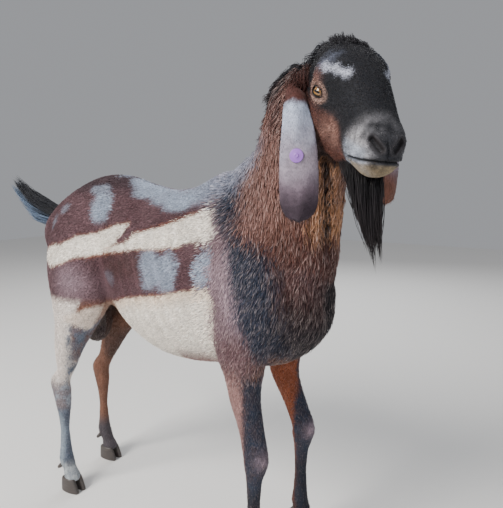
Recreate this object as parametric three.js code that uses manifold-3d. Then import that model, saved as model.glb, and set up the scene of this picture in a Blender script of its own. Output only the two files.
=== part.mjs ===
// A life-size Nubian goat, a bearded adult buck without horns, standing with its head raised
// and turned to its right. Millimetres, +X towards the chest, +Y towards the animal's left,
// +Z up. The floor is z = 0 and the origin lies under the middle of the animal.
import * as THREE from "three";
import { mergeVertices } from "three/addons/utils/BufferGeometryUtils.js";
import Module from "manifold-3d";

const wasm = await Module();
wasm.setup();

// Driving dimensions
const WITHERS_HEIGHT = 985;
const CHEST_FLOOR = 497;
const KNEE_HEIGHT = 303;
const HOCK_HEIGHT = 322;
const FETLOCK_HEIGHT = 98;
const HOOF_HEIGHT = 46;
const HEAD_LENGTH = 308;
const EYE_RADIUS = 15;
const EAR_LENGTH = 268;
const EAR_WIDTH = 75;
const EAR_THICKNESS = 5;
const TAIL_LENGTH = 250;
const BEARD_LENGTH = 142;
const TAG_RADIUS = 13;
const GAP = 0.3;

// Where the feet stand
const FEET = {
  foreleg_r: [292, -106],
  foreleg_l: [318, 92],
  hindleg_r: [-398, -94],
  hindleg_l: [-446, 106],
};

// How the head is held: its frame starts on top of the poll and runs to the nose
const HEAD_AT = new THREE.Vector3(485, -121, 1190);
const HEAD_TURN = THREE.MathUtils.degToRad(-49);
const HEAD_DIP = THREE.MathUtils.degToRad(17.5);
const HEAD_TILT = THREE.MathUtils.degToRad(-3.5);

const UP = new THREE.Vector3(0, 0, 1);
const LEFT = new THREE.Vector3(0, 1, 0);
const AHEAD = new THREE.Vector3(1, 0, 0);

// A seeded random number from low to high
let seed = 11;
function between(low, high) {
  seed = (seed * 1103515245 + 12345) % 2147483648;
  return low + ((high - low) * seed) / 2147483648;
}

function vec(x, y, z) {
  return new THREE.Vector3(x, y, z);
}

// Solids: a closed geometry becomes one for joining and cutting, and goes back to a geometry
function solidOf(geometry) {
  const bare = new THREE.BufferGeometry();
  bare.setAttribute("position", geometry.getAttribute("position").clone());
  bare.setIndex(geometry.index);
  const merged = mergeVertices(bare, 1e-3);
  return new wasm.Manifold(
    new wasm.Mesh({
      numProp: 3,
      vertProperties: merged.attributes.position.array,
      triVerts: new Uint32Array(merged.index.array),
    }),
  );
}

function geometryOf(solid) {
  const mesh = solid.getMesh();
  const geometry = new THREE.BufferGeometry();
  geometry.setAttribute("position", new THREE.BufferAttribute(mesh.vertProperties, 3));
  geometry.setIndex(new THREE.BufferAttribute(mesh.triVerts, 1));
  return geometry;
}

function join(solids) {
  return solids.reduce((sum, next) => sum.add(next));
}

// Only the largest closed body of a solid is kept
function largest(solid) {
  return solid.decompose().sort((a, b) => b.volume() - a.volume())[0];
}

// The part of a solid on the far side of a plane through a point, less half the gap
function beyond(solid, normal, point) {
  const n = normal.clone().normalize();
  return solid.trimByPlane(n.toArray(), n.dot(point) + GAP / 2);
}

// A value read off a short list of key values by a smooth curve, t from 0 to 1
function smooth(keys, t) {
  const at = Math.min(t, 0.999999) * (keys.length - 1);
  const i = Math.floor(at);
  const f = at - i;
  const [a, b, c, d] = [i - 1, i, i + 1, i + 2].map(
    (k) => keys[Math.max(0, Math.min(keys.length - 1, k))],
  );
  return (
    b + 0.5 * f * (c - a + f * (2 * a - 5 * b + 4 * c - d + f * (3 * (b - c) + d - a)))
  );
}

// A closed skin over rings of points that run the same way round, with a fan at each end
function skinOf(rings) {
  const sides = rings[0].length;
  const points = rings.flat();
  const first = new THREE.Vector3();
  const last = new THREE.Vector3();
  rings[0].forEach((p) => first.addScaledVector(p, 1 / sides));
  rings.at(-1).forEach((p) => last.addScaledVector(p, 1 / sides));
  points.push(first, last);
  const index = [];
  for (let i = 0; i < rings.length - 1; i++) {
    for (let j = 0; j < sides; j++) {
      const k = (j + 1) % sides;
      const [a, b] = [i * sides + j, i * sides + k];
      index.push(a, b, b + sides, a, b + sides, a + sides);
    }
  }
  const end = (rings.length - 1) * sides;
  for (let j = 0; j < sides; j++) {
    const k = (j + 1) % sides;
    index.push(end + sides, k, j, end + sides + 1, end + j, end + k);
  }
  const geometry = new THREE.BufferGeometry().setFromPoints(points);
  geometry.setIndex(index);
  return geometry;
}

// A body form over key stations. A station has a centre, its reach along the up axis and
// against it, its half width, and how square its outline is above and below the centre.
// Swells are soft bumps pushed out from the form: a place, a radius and a height.
// A form can be grown a little all round, to cut what meets it.
function formOf(stations, rings, sides, swells = [], grow = 0) {
  const keys = (name) => stations.map((s) => s[name]);
  const axis = (name, t) =>
    vec(...[0, 1, 2].map((c) => smooth(stations.map((s) => s[name].getComponent(c)), t)));
  const made = [];
  for (let i = 0; i < rings; i++) {
    const t = i / (rings - 1);
    const up = axis("up", t).normalize();
    const side = axis("side", t).normalize();
    const end = i === 0 ? -grow : i === rings - 1 ? grow : 0;
    const centre = axis("at", t).addScaledVector(side.clone().cross(up), end);
    const [above, below] = [smooth(keys("above"), t) + grow, smooth(keys("below"), t) + grow];
    const wide = smooth(keys("wide"), t) + grow;
    const [roundAbove, roundBelow] = [smooth(keys("top"), t), smooth(keys("base"), t)];
    const ring = [];
    for (let j = 0; j < sides; j++) {
      const angle = (2 * Math.PI * j) / sides;
      const [c, s] = [Math.cos(angle), Math.sin(angle)];
      const power = 2 / (s > 0 ? roundAbove : roundBelow);
      const out = side
        .clone()
        .multiplyScalar(wide * Math.sign(c) * Math.abs(c) ** power)
        .addScaledVector(up, (s > 0 ? above : below) * Math.sign(s) * Math.abs(s) ** power);
      const point = centre.clone().add(out);
      const away = out.normalize();
      let push = 0;
      for (const swell of swells) {
        push += swell.height * Math.exp(-point.distanceToSquared(swell.at) / swell.radius ** 2);
      }
      ring.push(point.addScaledVector(away, push));
    }
    made.push(ring);
  }
  return skinOf(made);
}

// Shorthand for a station
function station(at, above, below, wide, more = {}) {
  return { at, above, below, wide, up: UP, side: LEFT, top: 2, base: 2, ...more };
}

// Torso: stations from the rump to the breast, by top line, belly line and widest level
function torso(grow = 0) {
  const lines = [
    // x, top, widest level, bottom, half width, squareness above and below
    [-508, 842, 800, 742, 26, 2, 2],
    [-478, 874, 800, 690, 74, 2, 2],
    [-405, 925, 815, 645, 106, 2.1, 2],
    [-310, 966, 820, 612, 116, 2.1, 2],
    [-215, 977, 800, 575, 128, 2.1, 2],
    [-115, 955, 735, 522, 152, 2.1, 2.1],
    [-20, 938, 700, 490, 166, 2.1, 2.2],
    [70, 950, 695, CHEST_FLOOR - 14, 164, 2.0, 2.2],
    [150, WITHERS_HEIGHT, 700, CHEST_FLOOR - 8, 148, 1.8, 2.1],
    [235, 968, 700, CHEST_FLOOR, 134, 1.8, 2.1],
    [315, 900, 700, CHEST_FLOOR + 18, 118, 2, 2],
    [385, 800, 690, CHEST_FLOOR + 66, 92, 2, 2],
    [422, 735, 672, CHEST_FLOOR + 116, 44, 2, 2],
  ];
  const stations = lines.map(([x, top, level, bottom, wide, above, below]) =>
    station(vec(x, 0, level), top - level, level - bottom, wide, { top: above, base: below }),
  );
  const swells = [-1, 1].flatMap((side) => [
    { at: vec(-235, side * 95, 935), radius: 62, height: 15 },
    { at: vec(-478, side * 70, 800), radius: 55, height: 10 },
    { at: vec(-225, side * 140, 690), radius: 85, height: -16 },
    { at: vec(-150, side * 150, 860), radius: 80, height: -10 },
    { at: vec(150, side * 110, 900), radius: 80, height: 6 },
  ]);
  return solidOf(formOf(stations, 25, 24, swells, grow));
}

// Neck: rings from nape to throat, from the withers and breast up to the head
function neck() {
  const lines = [
    // nape, throat, half width, how far the ring has turned with the head
    [[128, 0, 960], [408, 0, 640], 112, 0],
    [[195, -2, 1002], [432, -3, 722], 106, 0.05],
    [[255, -16, 1042], [449, -24, 812], 92, 0.2],
    [[304, -44, 1114], [462, -58, 898], 80, 0.45],
    [[350, -74, 1174], [478, -90, 965], 70, 0.7],
    [[412, -96, 1200], [502, -114, 1010], 58, 0.9],
  ];
  const stations = lines.map(([nape, throat, wide, turned]) => {
    const [high, low] = [vec(...nape), vec(...throat)];
    const half = high.distanceTo(low) / 2;
    const side = LEFT.clone().applyAxisAngle(UP, HEAD_TURN * turned);
    const up = high.clone().sub(low).normalize();
    return station(high.add(low).multiplyScalar(0.5), half, half, wide, { up, side });
  });
  return solidOf(formOf(stations, 15, 24));
}

// The head's own frame: x from the poll to the nose, y to its left, z out of the forehead
const headFrame = new THREE.Matrix4()
  .makeTranslation(HEAD_AT)
  .multiply(
    new THREE.Matrix4().makeRotationFromEuler(
      new THREE.Euler(HEAD_TILT, HEAD_DIP, HEAD_TURN, "ZYX"),
    ),
  );

function onHead(x, y, z) {
  return vec(x, y, z).applyMatrix4(headFrame);
}

function headDirection(x, y, z) {
  return vec(x, y, z).transformDirection(headFrame);
}

function placedOnHead(geometry) {
  return solidOf(geometry.applyMatrix4(headFrame));
}

// Skull, face and jaw in one form, with a convex nose line
const MOUTH_CORNER = vec(214, 0, -133);
const EYE_AT = vec(97, 51, -54);

function headForm(grow = 0) {
  const lines = [
    // x, profile, widest level, underside, half width, squareness above and below
    [-62, -36, -88, -132, 36, 2, 2],
    [-32, 4, -78, -156, 48, 2.1, 2],
    [4, 26, -64, -166, 57, 2.3, 1.8],
    [50, 34, -54, -172, 62, 2.5, 1.7],
    [96, 29, -52, -172, 64, 2.7, 1.6],
    [136, 19, -56, -168, 56, 2.7, 1.6],
    [174, 3, -64, -162, 48, 2.6, 1.7],
    [210, -17, -76, -157, 43, 2.5, 1.9],
    [243, -38, -88, -154, 39, 2.4, 2.1],
    [272, -60, -97, -150, 36, 2.3, 2.2],
    [295, -82, -105, -144, 31, 2.2, 2.2],
    [HEAD_LENGTH, -100, -112, -132, 16, 2, 2],
  ];
  const stations = lines.map(([x, profile, level, under, wide, above, below]) =>
    station(vec(x, 0, level), profile - level, level - under, wide, { top: above, base: below }),
  );
  const swells = [-1, 1].flatMap((side) => [
    { at: vec(100, side * 58, -20), radius: 28, height: 9 },
    { at: vec(128, side * 60, -58), radius: 24, height: 4 },
    { at: vec(60, side * 54, -115), radius: 44, height: 3 },
    { at: vec(170, side * 49, -80), radius: 34, height: -5 },
    { at: vec(278, side * 32, -84), radius: 20, height: 5 },
    { at: vec(243, side * 34, -108), radius: 26, height: 4 },
  ]);
  swells.push({ at: vec(262, 0, -158), radius: 28, height: 6 });
  return formOf(stations, 27, 22, swells, grow);
}

// Lids: a ball over the eye, opened to an almond, hollowed for the eyeball
function lidded(head) {
  let made = head;
  for (const side of [-1, 1]) {
    const place = onHead(EYE_AT.x, side * EYE_AT.y, EYE_AT.z);
    const ball = (radius) =>
      solidOf(new THREE.IcosahedronGeometry(radius, 3).translate(...place.toArray()));
    const almond = new THREE.Shape();
    almond.moveTo(-14, side * 3.5);
    almond.quadraticCurveTo(-4, -side * 12, 13, -side * 3);
    almond.quadraticCurveTo(4, side * 11, -14, side * 3.5);
    const slit = new THREE.ExtrudeGeometry(almond, {
      depth: 30,
      bevelEnabled: false,
      curveSegments: 5,
    });
    const outward = headDirection(0.45, side, 0.14);
    const along = headDirection(1, 0, -0.35);
    const above = outward.clone().cross(along).normalize();
    const ahead = above.clone().cross(outward).normalize();
    slit.applyMatrix4(new THREE.Matrix4().makeBasis(ahead, above, outward).setPosition(place));
    made = made.add(ball(EYE_RADIUS + 3)).subtract(solidOf(slit)).subtract(ball(EYE_RADIUS + GAP));
  }
  return made;
}

function eyeball(side) {
  const ball = new THREE.IcosahedronGeometry(EYE_RADIUS, 2);
  return solidOf(ball.translate(...onHead(EYE_AT.x, side * EYE_AT.y, EYE_AT.z).toArray()));
}

// Nostrils: a comma-shaped pit bent up and back on each side of the nose
function nostril(side) {
  const stations = [
    [301, 11, -93, 2.5, 3.5],
    [295, 18, -88, 4, 6],
    [286, 26, -82, 3.6, 5.5],
    [275, 31, -79, 1.4, 2],
  ].map(([x, y, z, deep, high]) =>
    station(vec(x, side * y, z), high, high, deep, { side: vec(-side * 0.57, -0.8, 0) }),
  );
  return placedOnHead(formOf(stations, 7, 8));
}

// The lower jaw and chin, below the line of the mouth
function jawRegion(grow) {
  const outline = new THREE.Shape();
  outline.moveTo(MOUTH_CORNER.x - grow, MOUTH_CORNER.z + grow);
  outline.lineTo(278, -124 + grow);
  outline.lineTo(400, -110 + grow);
  outline.lineTo(400, -500);
  outline.lineTo(-160 - grow, -500);
  outline.lineTo(146 - grow, -162);
  const slab = new THREE.ExtrudeGeometry(outline, { depth: 200, bevelEnabled: false });
  slab.translate(0, 0, -100).rotateX(Math.PI / 2);
  return placedOnHead(slab);
}

// A flat, tapered lock of hair from a root along a path, broad near the root
function lock(root, tip, sag, width, thick, flat) {
  const middle = root.clone().lerp(tip, 0.5).add(sag);
  const path = new THREE.QuadraticBezierCurve3(root, middle, tip);
  const shares = [0.8, 1, 0.62, 0.06];
  const rings = shares.map((share, i) => {
    const t = i / (shares.length - 1);
    const centre = path.getPoint(t);
    const along = path.getTangent(t);
    const side = flat.clone().cross(along).normalize();
    const up = along.clone().cross(side);
    const corners = [
      [1, 0],
      [0, 1],
      [-1, 0],
      [0, -1],
    ];
    return corners.map(([c, s]) =>
      centre
        .clone()
        .addScaledVector(side, (c * width * share) / 2)
        .addScaledVector(up, (s * thick * Math.max(share, 0.15)) / 2),
    );
  });
  return solidOf(skinOf(rings));
}

// Beard: locks in rows from the chin back along the jaw, all drawn to one point
function beard() {
  const locks = [];
  const rows = 5;
  const across = 4;
  for (let i = 0; i < rows; i++) {
    for (let j = 0; j < across; j++) {
      const back = i / (rows - 1);
      const out = (2 * j) / (across - 1) - 1;
      const root = onHead(256 - 112 * back, out * (20 - 3 * back), -138 - 10 * back);
      const length = BEARD_LENGTH * (1.02 - 0.42 * back);
      const centre = onHead(236, 0, -150);
      const tip = vec(
        centre.x + 4 + (root.x - centre.x) * 0.42 + between(-5, 5),
        centre.y - 4 + (root.y - centre.y) * 0.42 + between(-5, 5),
        root.z - length - between(0, 18) * (1 - Math.abs(out) * 0.5),
      );
      const sag = headDirection(back > 0.5 ? -0.4 : 0.8, out * 0.9, 0).multiplyScalar(10);
      const flat = headDirection(0.35 - back, out + 0.01, 0);
      locks.push(lock(root, tip, sag, between(20, 26), between(9, 12), flat));
    }
  }
  return locks;
}

// Tuft on the poll: short locks thrown forward and out from the crown
function pollTuft() {
  const locks = [];
  for (let i = 0; i < 4; i++) {
    for (let j = 0; j < 5; j++) {
      const out = (j - 2) / 2;
      const root = onHead(-8 + 20 * i, out * 34, 4 - 14 * out * out);
      const reach = between(36, 48);
      const lean = headDirection(0.35 + 0.25 * i, out * 0.75 + between(-0.15, 0.15), 0.75);
      const tip = root.clone().addScaledVector(lean.normalize(), reach);
      const sag = headDirection(0, out * 0.3, 1).multiplyScalar(5);
      locks.push(lock(root, tip, sag, between(17, 22), 8, headDirection(-0.6, out, 0.6)));
    }
  }
  return locks;
}

// Crest: locks in two rows down the nape, lying back
function crest(line, count) {
  const locks = [];
  for (let i = 0; i < count; i++) {
    for (const side of [-1, 1]) {
      const t = (i + (side > 0 ? 0.5 : 0)) / count;
      const spot = line.getPoint(t);
      const along = line.getTangent(t);
      const across = along.clone().cross(UP).normalize().multiplyScalar(-side);
      const above = across.clone().cross(along).normalize();
      above.multiplyScalar(Math.sign(above.z));
      const root = spot.clone().addScaledVector(across, 11).addScaledVector(above, -13);
      const tip = root
        .clone()
        .addScaledVector(along, -between(46, 60))
        .addScaledVector(across, between(8, 16))
        .addScaledVector(above, between(17, 24));
      const sag = above.clone().multiplyScalar(6);
      locks.push(lock(root, tip, sag, between(19, 24), 8, across));
    }
  }
  return locks;
}

// Where each ear hangs, from below its root to its tip, and the way its outer face looks
const EAR_COURSE = {
  "-1": [
    [437, -206, 1104],
    [447, -214, 1050],
    [450, -214, 975],
    [446, -203, 1149 - EAR_LENGTH],
  ],
  1: [
    [551, -40, 1104],
    [563, -36, 1045],
    [567, -40, 980],
    [562, -50, 1180 - EAR_LENGTH],
  ],
};
const EAR_FACE = { "-1": vec(0.35, -0.93, 0), 1: vec(0.86, -0.5, 0) };

// Ear: a thin leaf from a cupped root, hanging down and curved across its width
function ear(side) {
  const path = new THREE.CatmullRomCurve3([
    onHead(24, side * 44, -60),
    onHead(16, side * 74, -58),
    ...EAR_COURSE[side].map((p) => vec(...p)),
  ]);
  const face = EAR_FACE[side];
  const widths = [0.3, 0.46, 0.57, 0.66, 0.75, 0.84, 0.93, 1, 1, 0.95, 0.6];
  const curls = [2.0, 1.7, 1.15, 0.85, 0.7, 0.6, 0.55, 0.5, 0.45, 0.4, 0.3];
  const steps = 16;
  const across = 7;
  const rings = [];
  for (let i = 0; i < steps; i++) {
    const t = i / (steps - 1);
    const centre = path.getPoint(t);
    const along = path.getTangent(t);
    const half = (smooth(widths, t) * EAR_WIDTH) / 2;
    const curl = smooth(curls, t);
    const edge = face.clone().cross(along).normalize();
    const front = along.clone().cross(edge);
    const arc = (s, lift) => {
      const radius = half / Math.sin(Math.min(curl, 1.45)) + lift;
      return centre
        .clone()
        .addScaledVector(edge, radius * Math.sin(curl * s))
        .addScaledVector(front, radius * (Math.cos(curl * s) - 1) + lift);
    };
    const ring = [];
    for (let j = 0; j < across; j++) {
      ring.push(arc(1 - (2 * j) / (across - 1), EAR_THICKNESS / 2));
    }
    for (let j = 0; j < across; j++) {
      ring.push(arc(((2 * j) / (across - 1) - 1) * 0.97, -EAR_THICKNESS / 2));
    }
    rings.push(ring);
  }
  return solidOf(skinOf(rings)).subtract(placedOnHead(headForm(GAP)));
}

// Ear tag: a round plate in front of the ear and a button behind it, on one pin
const TAG_AT = vec(447, -215, 1004);

function tag(grow) {
  const plate = (radius, depth, at) =>
    solidOf(
      new THREE.CylinderGeometry(radius, radius, depth, 16)
        .translate(0, at, 0)
        .applyQuaternion(new THREE.Quaternion().setFromUnitVectors(LEFT, EAR_FACE[-1]))
        .translate(...TAG_AT.toArray()),
    );
  const inner = EAR_THICKNESS / 2 + 0.8;
  return join([
    plate(TAG_RADIUS + grow, 2 + grow, inner + 1),
    plate(3 + grow, 1.5, inner + 2.5),
    plate(2 + grow, 2 * inner + 2, 0),
    plate(5 + grow, 2 + grow, -inner - 1),
  ]);
}

// Tail: a tapered core raised behind, under locks that run out to the tip
const TAIL_ROOT = vec(-452, 0, 834);
const TAIL_TIP = vec(-452 - TAIL_LENGTH * 0.93, -14, 834 + TAIL_LENGTH * 0.43);

function tail() {
  const along = TAIL_TIP.clone().sub(TAIL_ROOT).normalize();
  const up = along.clone().cross(LEFT).normalize().negate();
  const core = [0, 0.16, 0.34, 0.52, 0.68].map((t, i) => {
    const reach = [28, 33, 30, 22, 9][i];
    const lift = up.clone().multiplyScalar(-26 * Math.sin(Math.PI * t));
    const at = TAIL_ROOT.clone().lerp(TAIL_TIP, t).add(lift);
    return station(at, reach, reach, reach * 1.15, { up, side: LEFT.clone().negate() });
  });
  const pieces = [solidOf(formOf(core, 9, 12))];
  for (let i = 0; i < 4; i++) {
    for (let j = 0; j < 5; j++) {
      const t = 0.14 + 0.15 * i;
      const angle = (2 * Math.PI * (j + 0.5 * (i % 2))) / 5;
      const lift = up.clone().multiplyScalar(-26 * Math.sin(Math.PI * t));
      const spot = TAIL_ROOT.clone().lerp(TAIL_TIP, t).add(lift);
      const out = LEFT.clone().multiplyScalar(Math.cos(angle)).addScaledVector(up, Math.sin(angle));
      const root = spot.clone().addScaledVector(out, 12);
      const tip = TAIL_ROOT.clone()
        .lerp(TAIL_TIP, Math.min(1, t + between(0.46, 0.56)))
        .addScaledVector(out, 30 - 4 * i)
        .add(lift.multiplyScalar(0.4));
      const sag = out.clone().multiplyScalar(9);
      pieces.push(lock(root, tip, sag, between(27, 34), 10, out));
    }
  }
  return join(pieces).subtract(torso(GAP));
}

// Legs: stations by height, with the reach to the front, to the back and to the side
function leg(lines, foot, rings, sides, swells) {
  const stations = lines.map(([x, y, z, front, back, wide, shape]) =>
    station(vec(x + foot[0], y + foot[1], z), front, back, wide, {
      up: AHEAD,
      side: LEFT,
      top: shape,
      base: shape,
    }),
  );
  return solidOf(formOf(stations, rings, sides, swells));
}

function foreleg(name) {
  const foot = FEET[name];
  const side = Math.sign(foot[1]);
  const drift = 268 - foot[0];
  const inward = side * 100 - foot[1];
  const lines = [
    // x and y from the foot, height, reach ahead, reach behind, half width, squareness
    [drift - 66, inward - side * 18, 905, 26, 34, 22, 2],
    [drift - 40, inward - side * 6, 850, 62, 66, 42, 2],
    [drift - 6, inward + side * 6, 760, 92, 88, 52, 2],
    [drift + 6, inward + side * 8, 670, 96, 92, 54, 2],
    [drift - 8, inward + side * 4, 590, 72, 76, 50, 2],
    [drift - 12, inward, 520, 50, 50, 42, 2],
    [drift - 8, inward * 0.7, 450, 39, 38, 34, 2],
    [drift * 0.5 - 2, inward * 0.4, 380, 32, 31, 28, 2],
    [-2, 0, KNEE_HEIGHT + 22, 31, 28, 28, 2.2],
    [0, 0, KNEE_HEIGHT - 12, 29, 25, 26, 2.3],
    [-3, 0, KNEE_HEIGHT - 55, 19, 20, 19, 2],
    [-4, 0, 195, 17, 18, 17, 2],
    [-4, 0, 140, 18, 20, 18, 2],
    [-4, 0, FETLOCK_HEIGHT, 22, 24, 22, 2.2],
    [8, 0, 68, 20, 21, 21, 2.2],
    [14, 0, HOOF_HEIGHT, 24, 26, 24, 2.4],
    [14, 0, HOOF_HEIGHT - 24, 24, 26, 24, 2.4],
  ];
  return leg(lines, foot, 27, 12, [
    { at: vec(foot[0] + drift - 70, foot[1] + inward, 548), radius: 36, height: 10 },
  ]);
}

function hindleg(name) {
  const foot = FEET[name];
  const side = Math.sign(foot[1]);
  const drift = -398 - foot[0];
  const inward = side * 94 - foot[1];
  const lines = [
    // x and y from the foot, height, reach ahead, reach behind, half width, squareness
    [drift + 130, inward - side * 26, 920, 40, 50, 26, 2],
    [drift + 110, inward - side * 10, 850, 92, 110, 46, 2],
    [drift + 96, inward, 770, 120, 122, 58, 2],
    [drift + 92, inward + side * 4, 690, 122, 118, 62, 2],
    [drift + 94, inward + side * 6, 610, 100, 104, 58, 2],
    [drift + 72, inward + side * 6, 540, 70, 80, 46, 2],
    [drift * 0.8 + 36, inward + side * 4, 468, 48, 56, 34, 2],
    [drift * 0.6 + 10, inward * 0.6, 405, 34, 36, 26, 2],
    [drift * 0.4 - 14, inward * 0.3, HOCK_HEIGHT + 32, 27, 34, 23, 2],
    [-16, 0, HOCK_HEIGHT - 4, 27, 30, 24, 2.2],
    [-12, 0, HOCK_HEIGHT - 48, 22, 25, 21, 2.2],
    [-12, 0, 225, 16, 17, 16, 2],
    [-12, 0, 150, 16, 18, 16, 2],
    [-11, 0, FETLOCK_HEIGHT, 20, 23, 21, 2.2],
    [2, 0, 68, 18, 20, 20, 2.2],
    [12, 0, HOOF_HEIGHT, 23, 25, 23, 2.4],
    [12, 0, HOOF_HEIGHT - 24, 23, 25, 23, 2.4],
  ];
  return leg(lines, foot, 29, 12, [
    { at: vec(foot[0] - 52, foot[1], HOCK_HEIGHT + 24), radius: 26, height: 9 },
  ]);
}

// Hoof: two claws side by side, flat below, with a sloping front wall and a heel
const CORONET_SLOPE = 8 / 37;

function claw(foot, side, ahead) {
  const profile = (inset, y) =>
    [
      [-30 + inset, 0],
      [33 - inset, 0],
      [36 - inset, 5],
      [33 - inset, 13],
      [15 - inset, HOOF_HEIGHT - CORONET_SLOPE * inset],
      [-22 + inset, HOOF_HEIGHT - CORONET_SLOPE * (37 - inset)],
      [-31 + inset, 21],
      [-33 + inset, 8],
    ].map(([x, z]) => vec(x, y, z));
  const block = skinOf([profile(5, 12), profile(0, 9), profile(0, -9), profile(5, -12)]);
  block.rotateZ(side * 0.07);
  return solidOf(block.translate(foot[0] + ahead, foot[1] + side * 14.8, 0));
}

// Dewclaw: a short blunt cone behind the fetlock
function dewclaw(foot, side, back, grow) {
  const cone = new THREE.SphereGeometry(9 + grow, 7, 5);
  cone.scale(0.85, 0.75, 1.5).rotateY(0.45);
  return solidOf(cone.translate(foot[0] - back, foot[1] + side * 13, FETLOCK_HEIGHT - 26));
}

// Scrotum of the buck, hung between the thighs
function scrotum(grow = 0) {
  const lines = [
    [-345, 640, 22, 30],
    [-348, 605, 30, 34],
    [-350, 560, 40, 44],
    [-350, 515, 42, 50],
    [-350, 478, 26, 34],
    [-350, 464, 8, 10],
  ];
  const stations = lines.map(([x, z, fore, wide]) =>
    station(vec(x, 0, z), fore, fore, wide, { up: AHEAD }),
  );
  return solidOf(formOf(stations, 11, 16, [], grow));
}

// The whole body in one, then parted with thin cuts
const nodes = new Map();
const MATERIALS = {
  coat: { color: 0x6b4338, roughness: 0.75 },
  dark_coat: { color: 0x1b1a1f, roughness: 0.7 },
  ear: { color: 0xa9a7b4, roughness: 0.7 },
  eye: { color: 0xb07a2c, roughness: 0.15 },
  hoof: { color: 0x3a332d, roughness: 0.45 },
  tag: { color: 0x9a63c8, roughness: 0.4 },
};

function keep(name, solid, look) {
  nodes.set(name, { solid: largest(solid), look });
}

const legNames = Object.keys(FEET);
const legs = legNames.map((n) => (n.startsWith("fore") ? foreleg(n) : hindleg(n)));
const body = join([torso(), neck(), placedOnHead(headForm()), scrotum(), ...legs]);

// Cut planes, each a point on it and the way to the part beyond
const HEAD_CUT = [onHead(4, 0, -90), headDirection(1, 0, 0.34)];
const NECK_CUT = [vec(300, 0, 830), vec(0.62, 0, 0.78)];
const FORE_CUT = [vec(280, 0, CHEST_FLOOR - 12), vec(0, 0, -1)];
const HIND_CUT = [vec(-330, 0, 600), vec(-0.22, 0, -1)];
const KNEE_CUT = [vec(0, 0, KNEE_HEIGHT + 2), vec(0, 0, -1)];
const HOCK_CUT = [vec(0, 0, HOCK_HEIGHT - 22), vec(0, 0, -1)];
const HOOF_TOP = vec(0.211, 0, -0.977);

function partAt(solid, [point, way]) {
  return [beyond(solid, way, point), beyond(solid, way.clone().negate(), point)];
}

// Head and neck from the trunk
const [aboveNeck, trunkAndLegs] = partAt(body, NECK_CUT);
const [headWhole, neckBare] = partAt(aboveNeck, HEAD_CUT);
const nape = new THREE.CatmullRomCurve3([
  vec(196, 0, 1003),
  vec(256, -16, 1043),
  vec(304, -44, 1114),
  vec(350, -74, 1174),
  vec(402, -92, 1198),
]);
const maned = partAt(join([neckBare, ...crest(nape, 9)]), HEAD_CUT)[1];
keep("neck", partAt(maned, NECK_CUT)[0], "coat");

const faceAndTuft = partAt(join([lidded(headWhole), ...pollTuft()]), HEAD_CUT)[0];
const face = faceAndTuft.subtract(jawRegion(GAP)).subtract(nostril(-1)).subtract(nostril(1));
keep("head", face, "dark_coat");
keep("jaw", join([headWhole, ...beard()]).intersect(jawRegion(0)), "dark_coat");
for (const [side, letter] of [[-1, "r"], [1, "l"]]) {
  keep("eye_" + letter, eyeball(side), "eye");
  keep("ear_" + letter, side < 0 ? ear(side).subtract(tag(GAP)) : ear(side), "ear");
}
keep("ear_tag", tag(0), "tag");
keep("tail", tail(), "dark_coat");

// Each leg from the trunk, in an upper and a lower part, with its claws and dewclaws
let trunk = trunkAndLegs;
const apart = scrotum(GAP);
for (const name of legNames) {
  const fore = name.startsWith("fore");
  const foot = FEET[name];
  const slab = new THREE.BoxGeometry(420, 260, 1400);
  slab.translate(fore ? 300 : -380, Math.sign(foot[1]) * 133, 0);
  const column = solidOf(slab);
  const cut = fore ? FORE_CUT : HIND_CUT;
  const gap = cut[1].clone().multiplyScalar(-GAP);
  trunk = trunk.subtract(beyond(column, cut[1], cut[0].clone().add(gap)).subtract(scrotum()));
  const whole = beyond(body.intersect(column), cut[1], cut[0]).subtract(apart);
  const [lower, upper] = partAt(whole, fore ? KNEE_CUT : HOCK_CUT);
  keep(name + "_upper", upper, "coat");
  const ahead = fore ? 16 : 14;
  const coronet = vec(foot[0] + ahead + 15, 0, HOOF_HEIGHT + GAP / 2);
  let shank = partAt(lower, [coronet, HOOF_TOP])[1];
  for (const [side, word] of [[-1, "right"], [1, "left"]]) {
    const back = fore ? 25 : 31;
    shank = shank.subtract(dewclaw(foot, side, back, GAP));
    keep(`${name}_dewclaw_${word}`, dewclaw(foot, side, back, 0), "hoof");
    keep(`${name}_claw_${word}`, claw(foot, side, ahead), "hoof");
  }
  keep(name + "_lower", shank, "dark_coat");
}
keep("torso", trunk, "coat");

// The origin lies on the floor under the middle of the whole
const box = new THREE.Box3();
for (const { solid } of nodes.values()) {
  box.expandByPoint(vec(...solid.boundingBox().min));
  box.expandByPoint(vec(...solid.boundingBox().max));
}
const middle = box.getCenter(vec(0, 0, 0));

const group = new THREE.Group();
const looks = Object.fromEntries(
  Object.entries(MATERIALS).map(([n, m]) => [n, new THREE.MeshStandardMaterial(m)]),
);
for (const [name, { solid, look }] of nodes) {
  const mesh = new THREE.Mesh(geometryOf(solid), looks[look]);
  mesh.name = name;
  mesh.position.set(-middle.x, -middle.y, 0);
  group.add(mesh);
}

export default group;
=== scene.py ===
# A life-size Nubian goat: an adult buck with long hanging ears, a convex face, a full black
# beard and a raised tail, standing with its head turned to its right. Metres, in the
# frame of the solids: +X to the chest, +Y to the animal's left, +Z up.
import math

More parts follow.
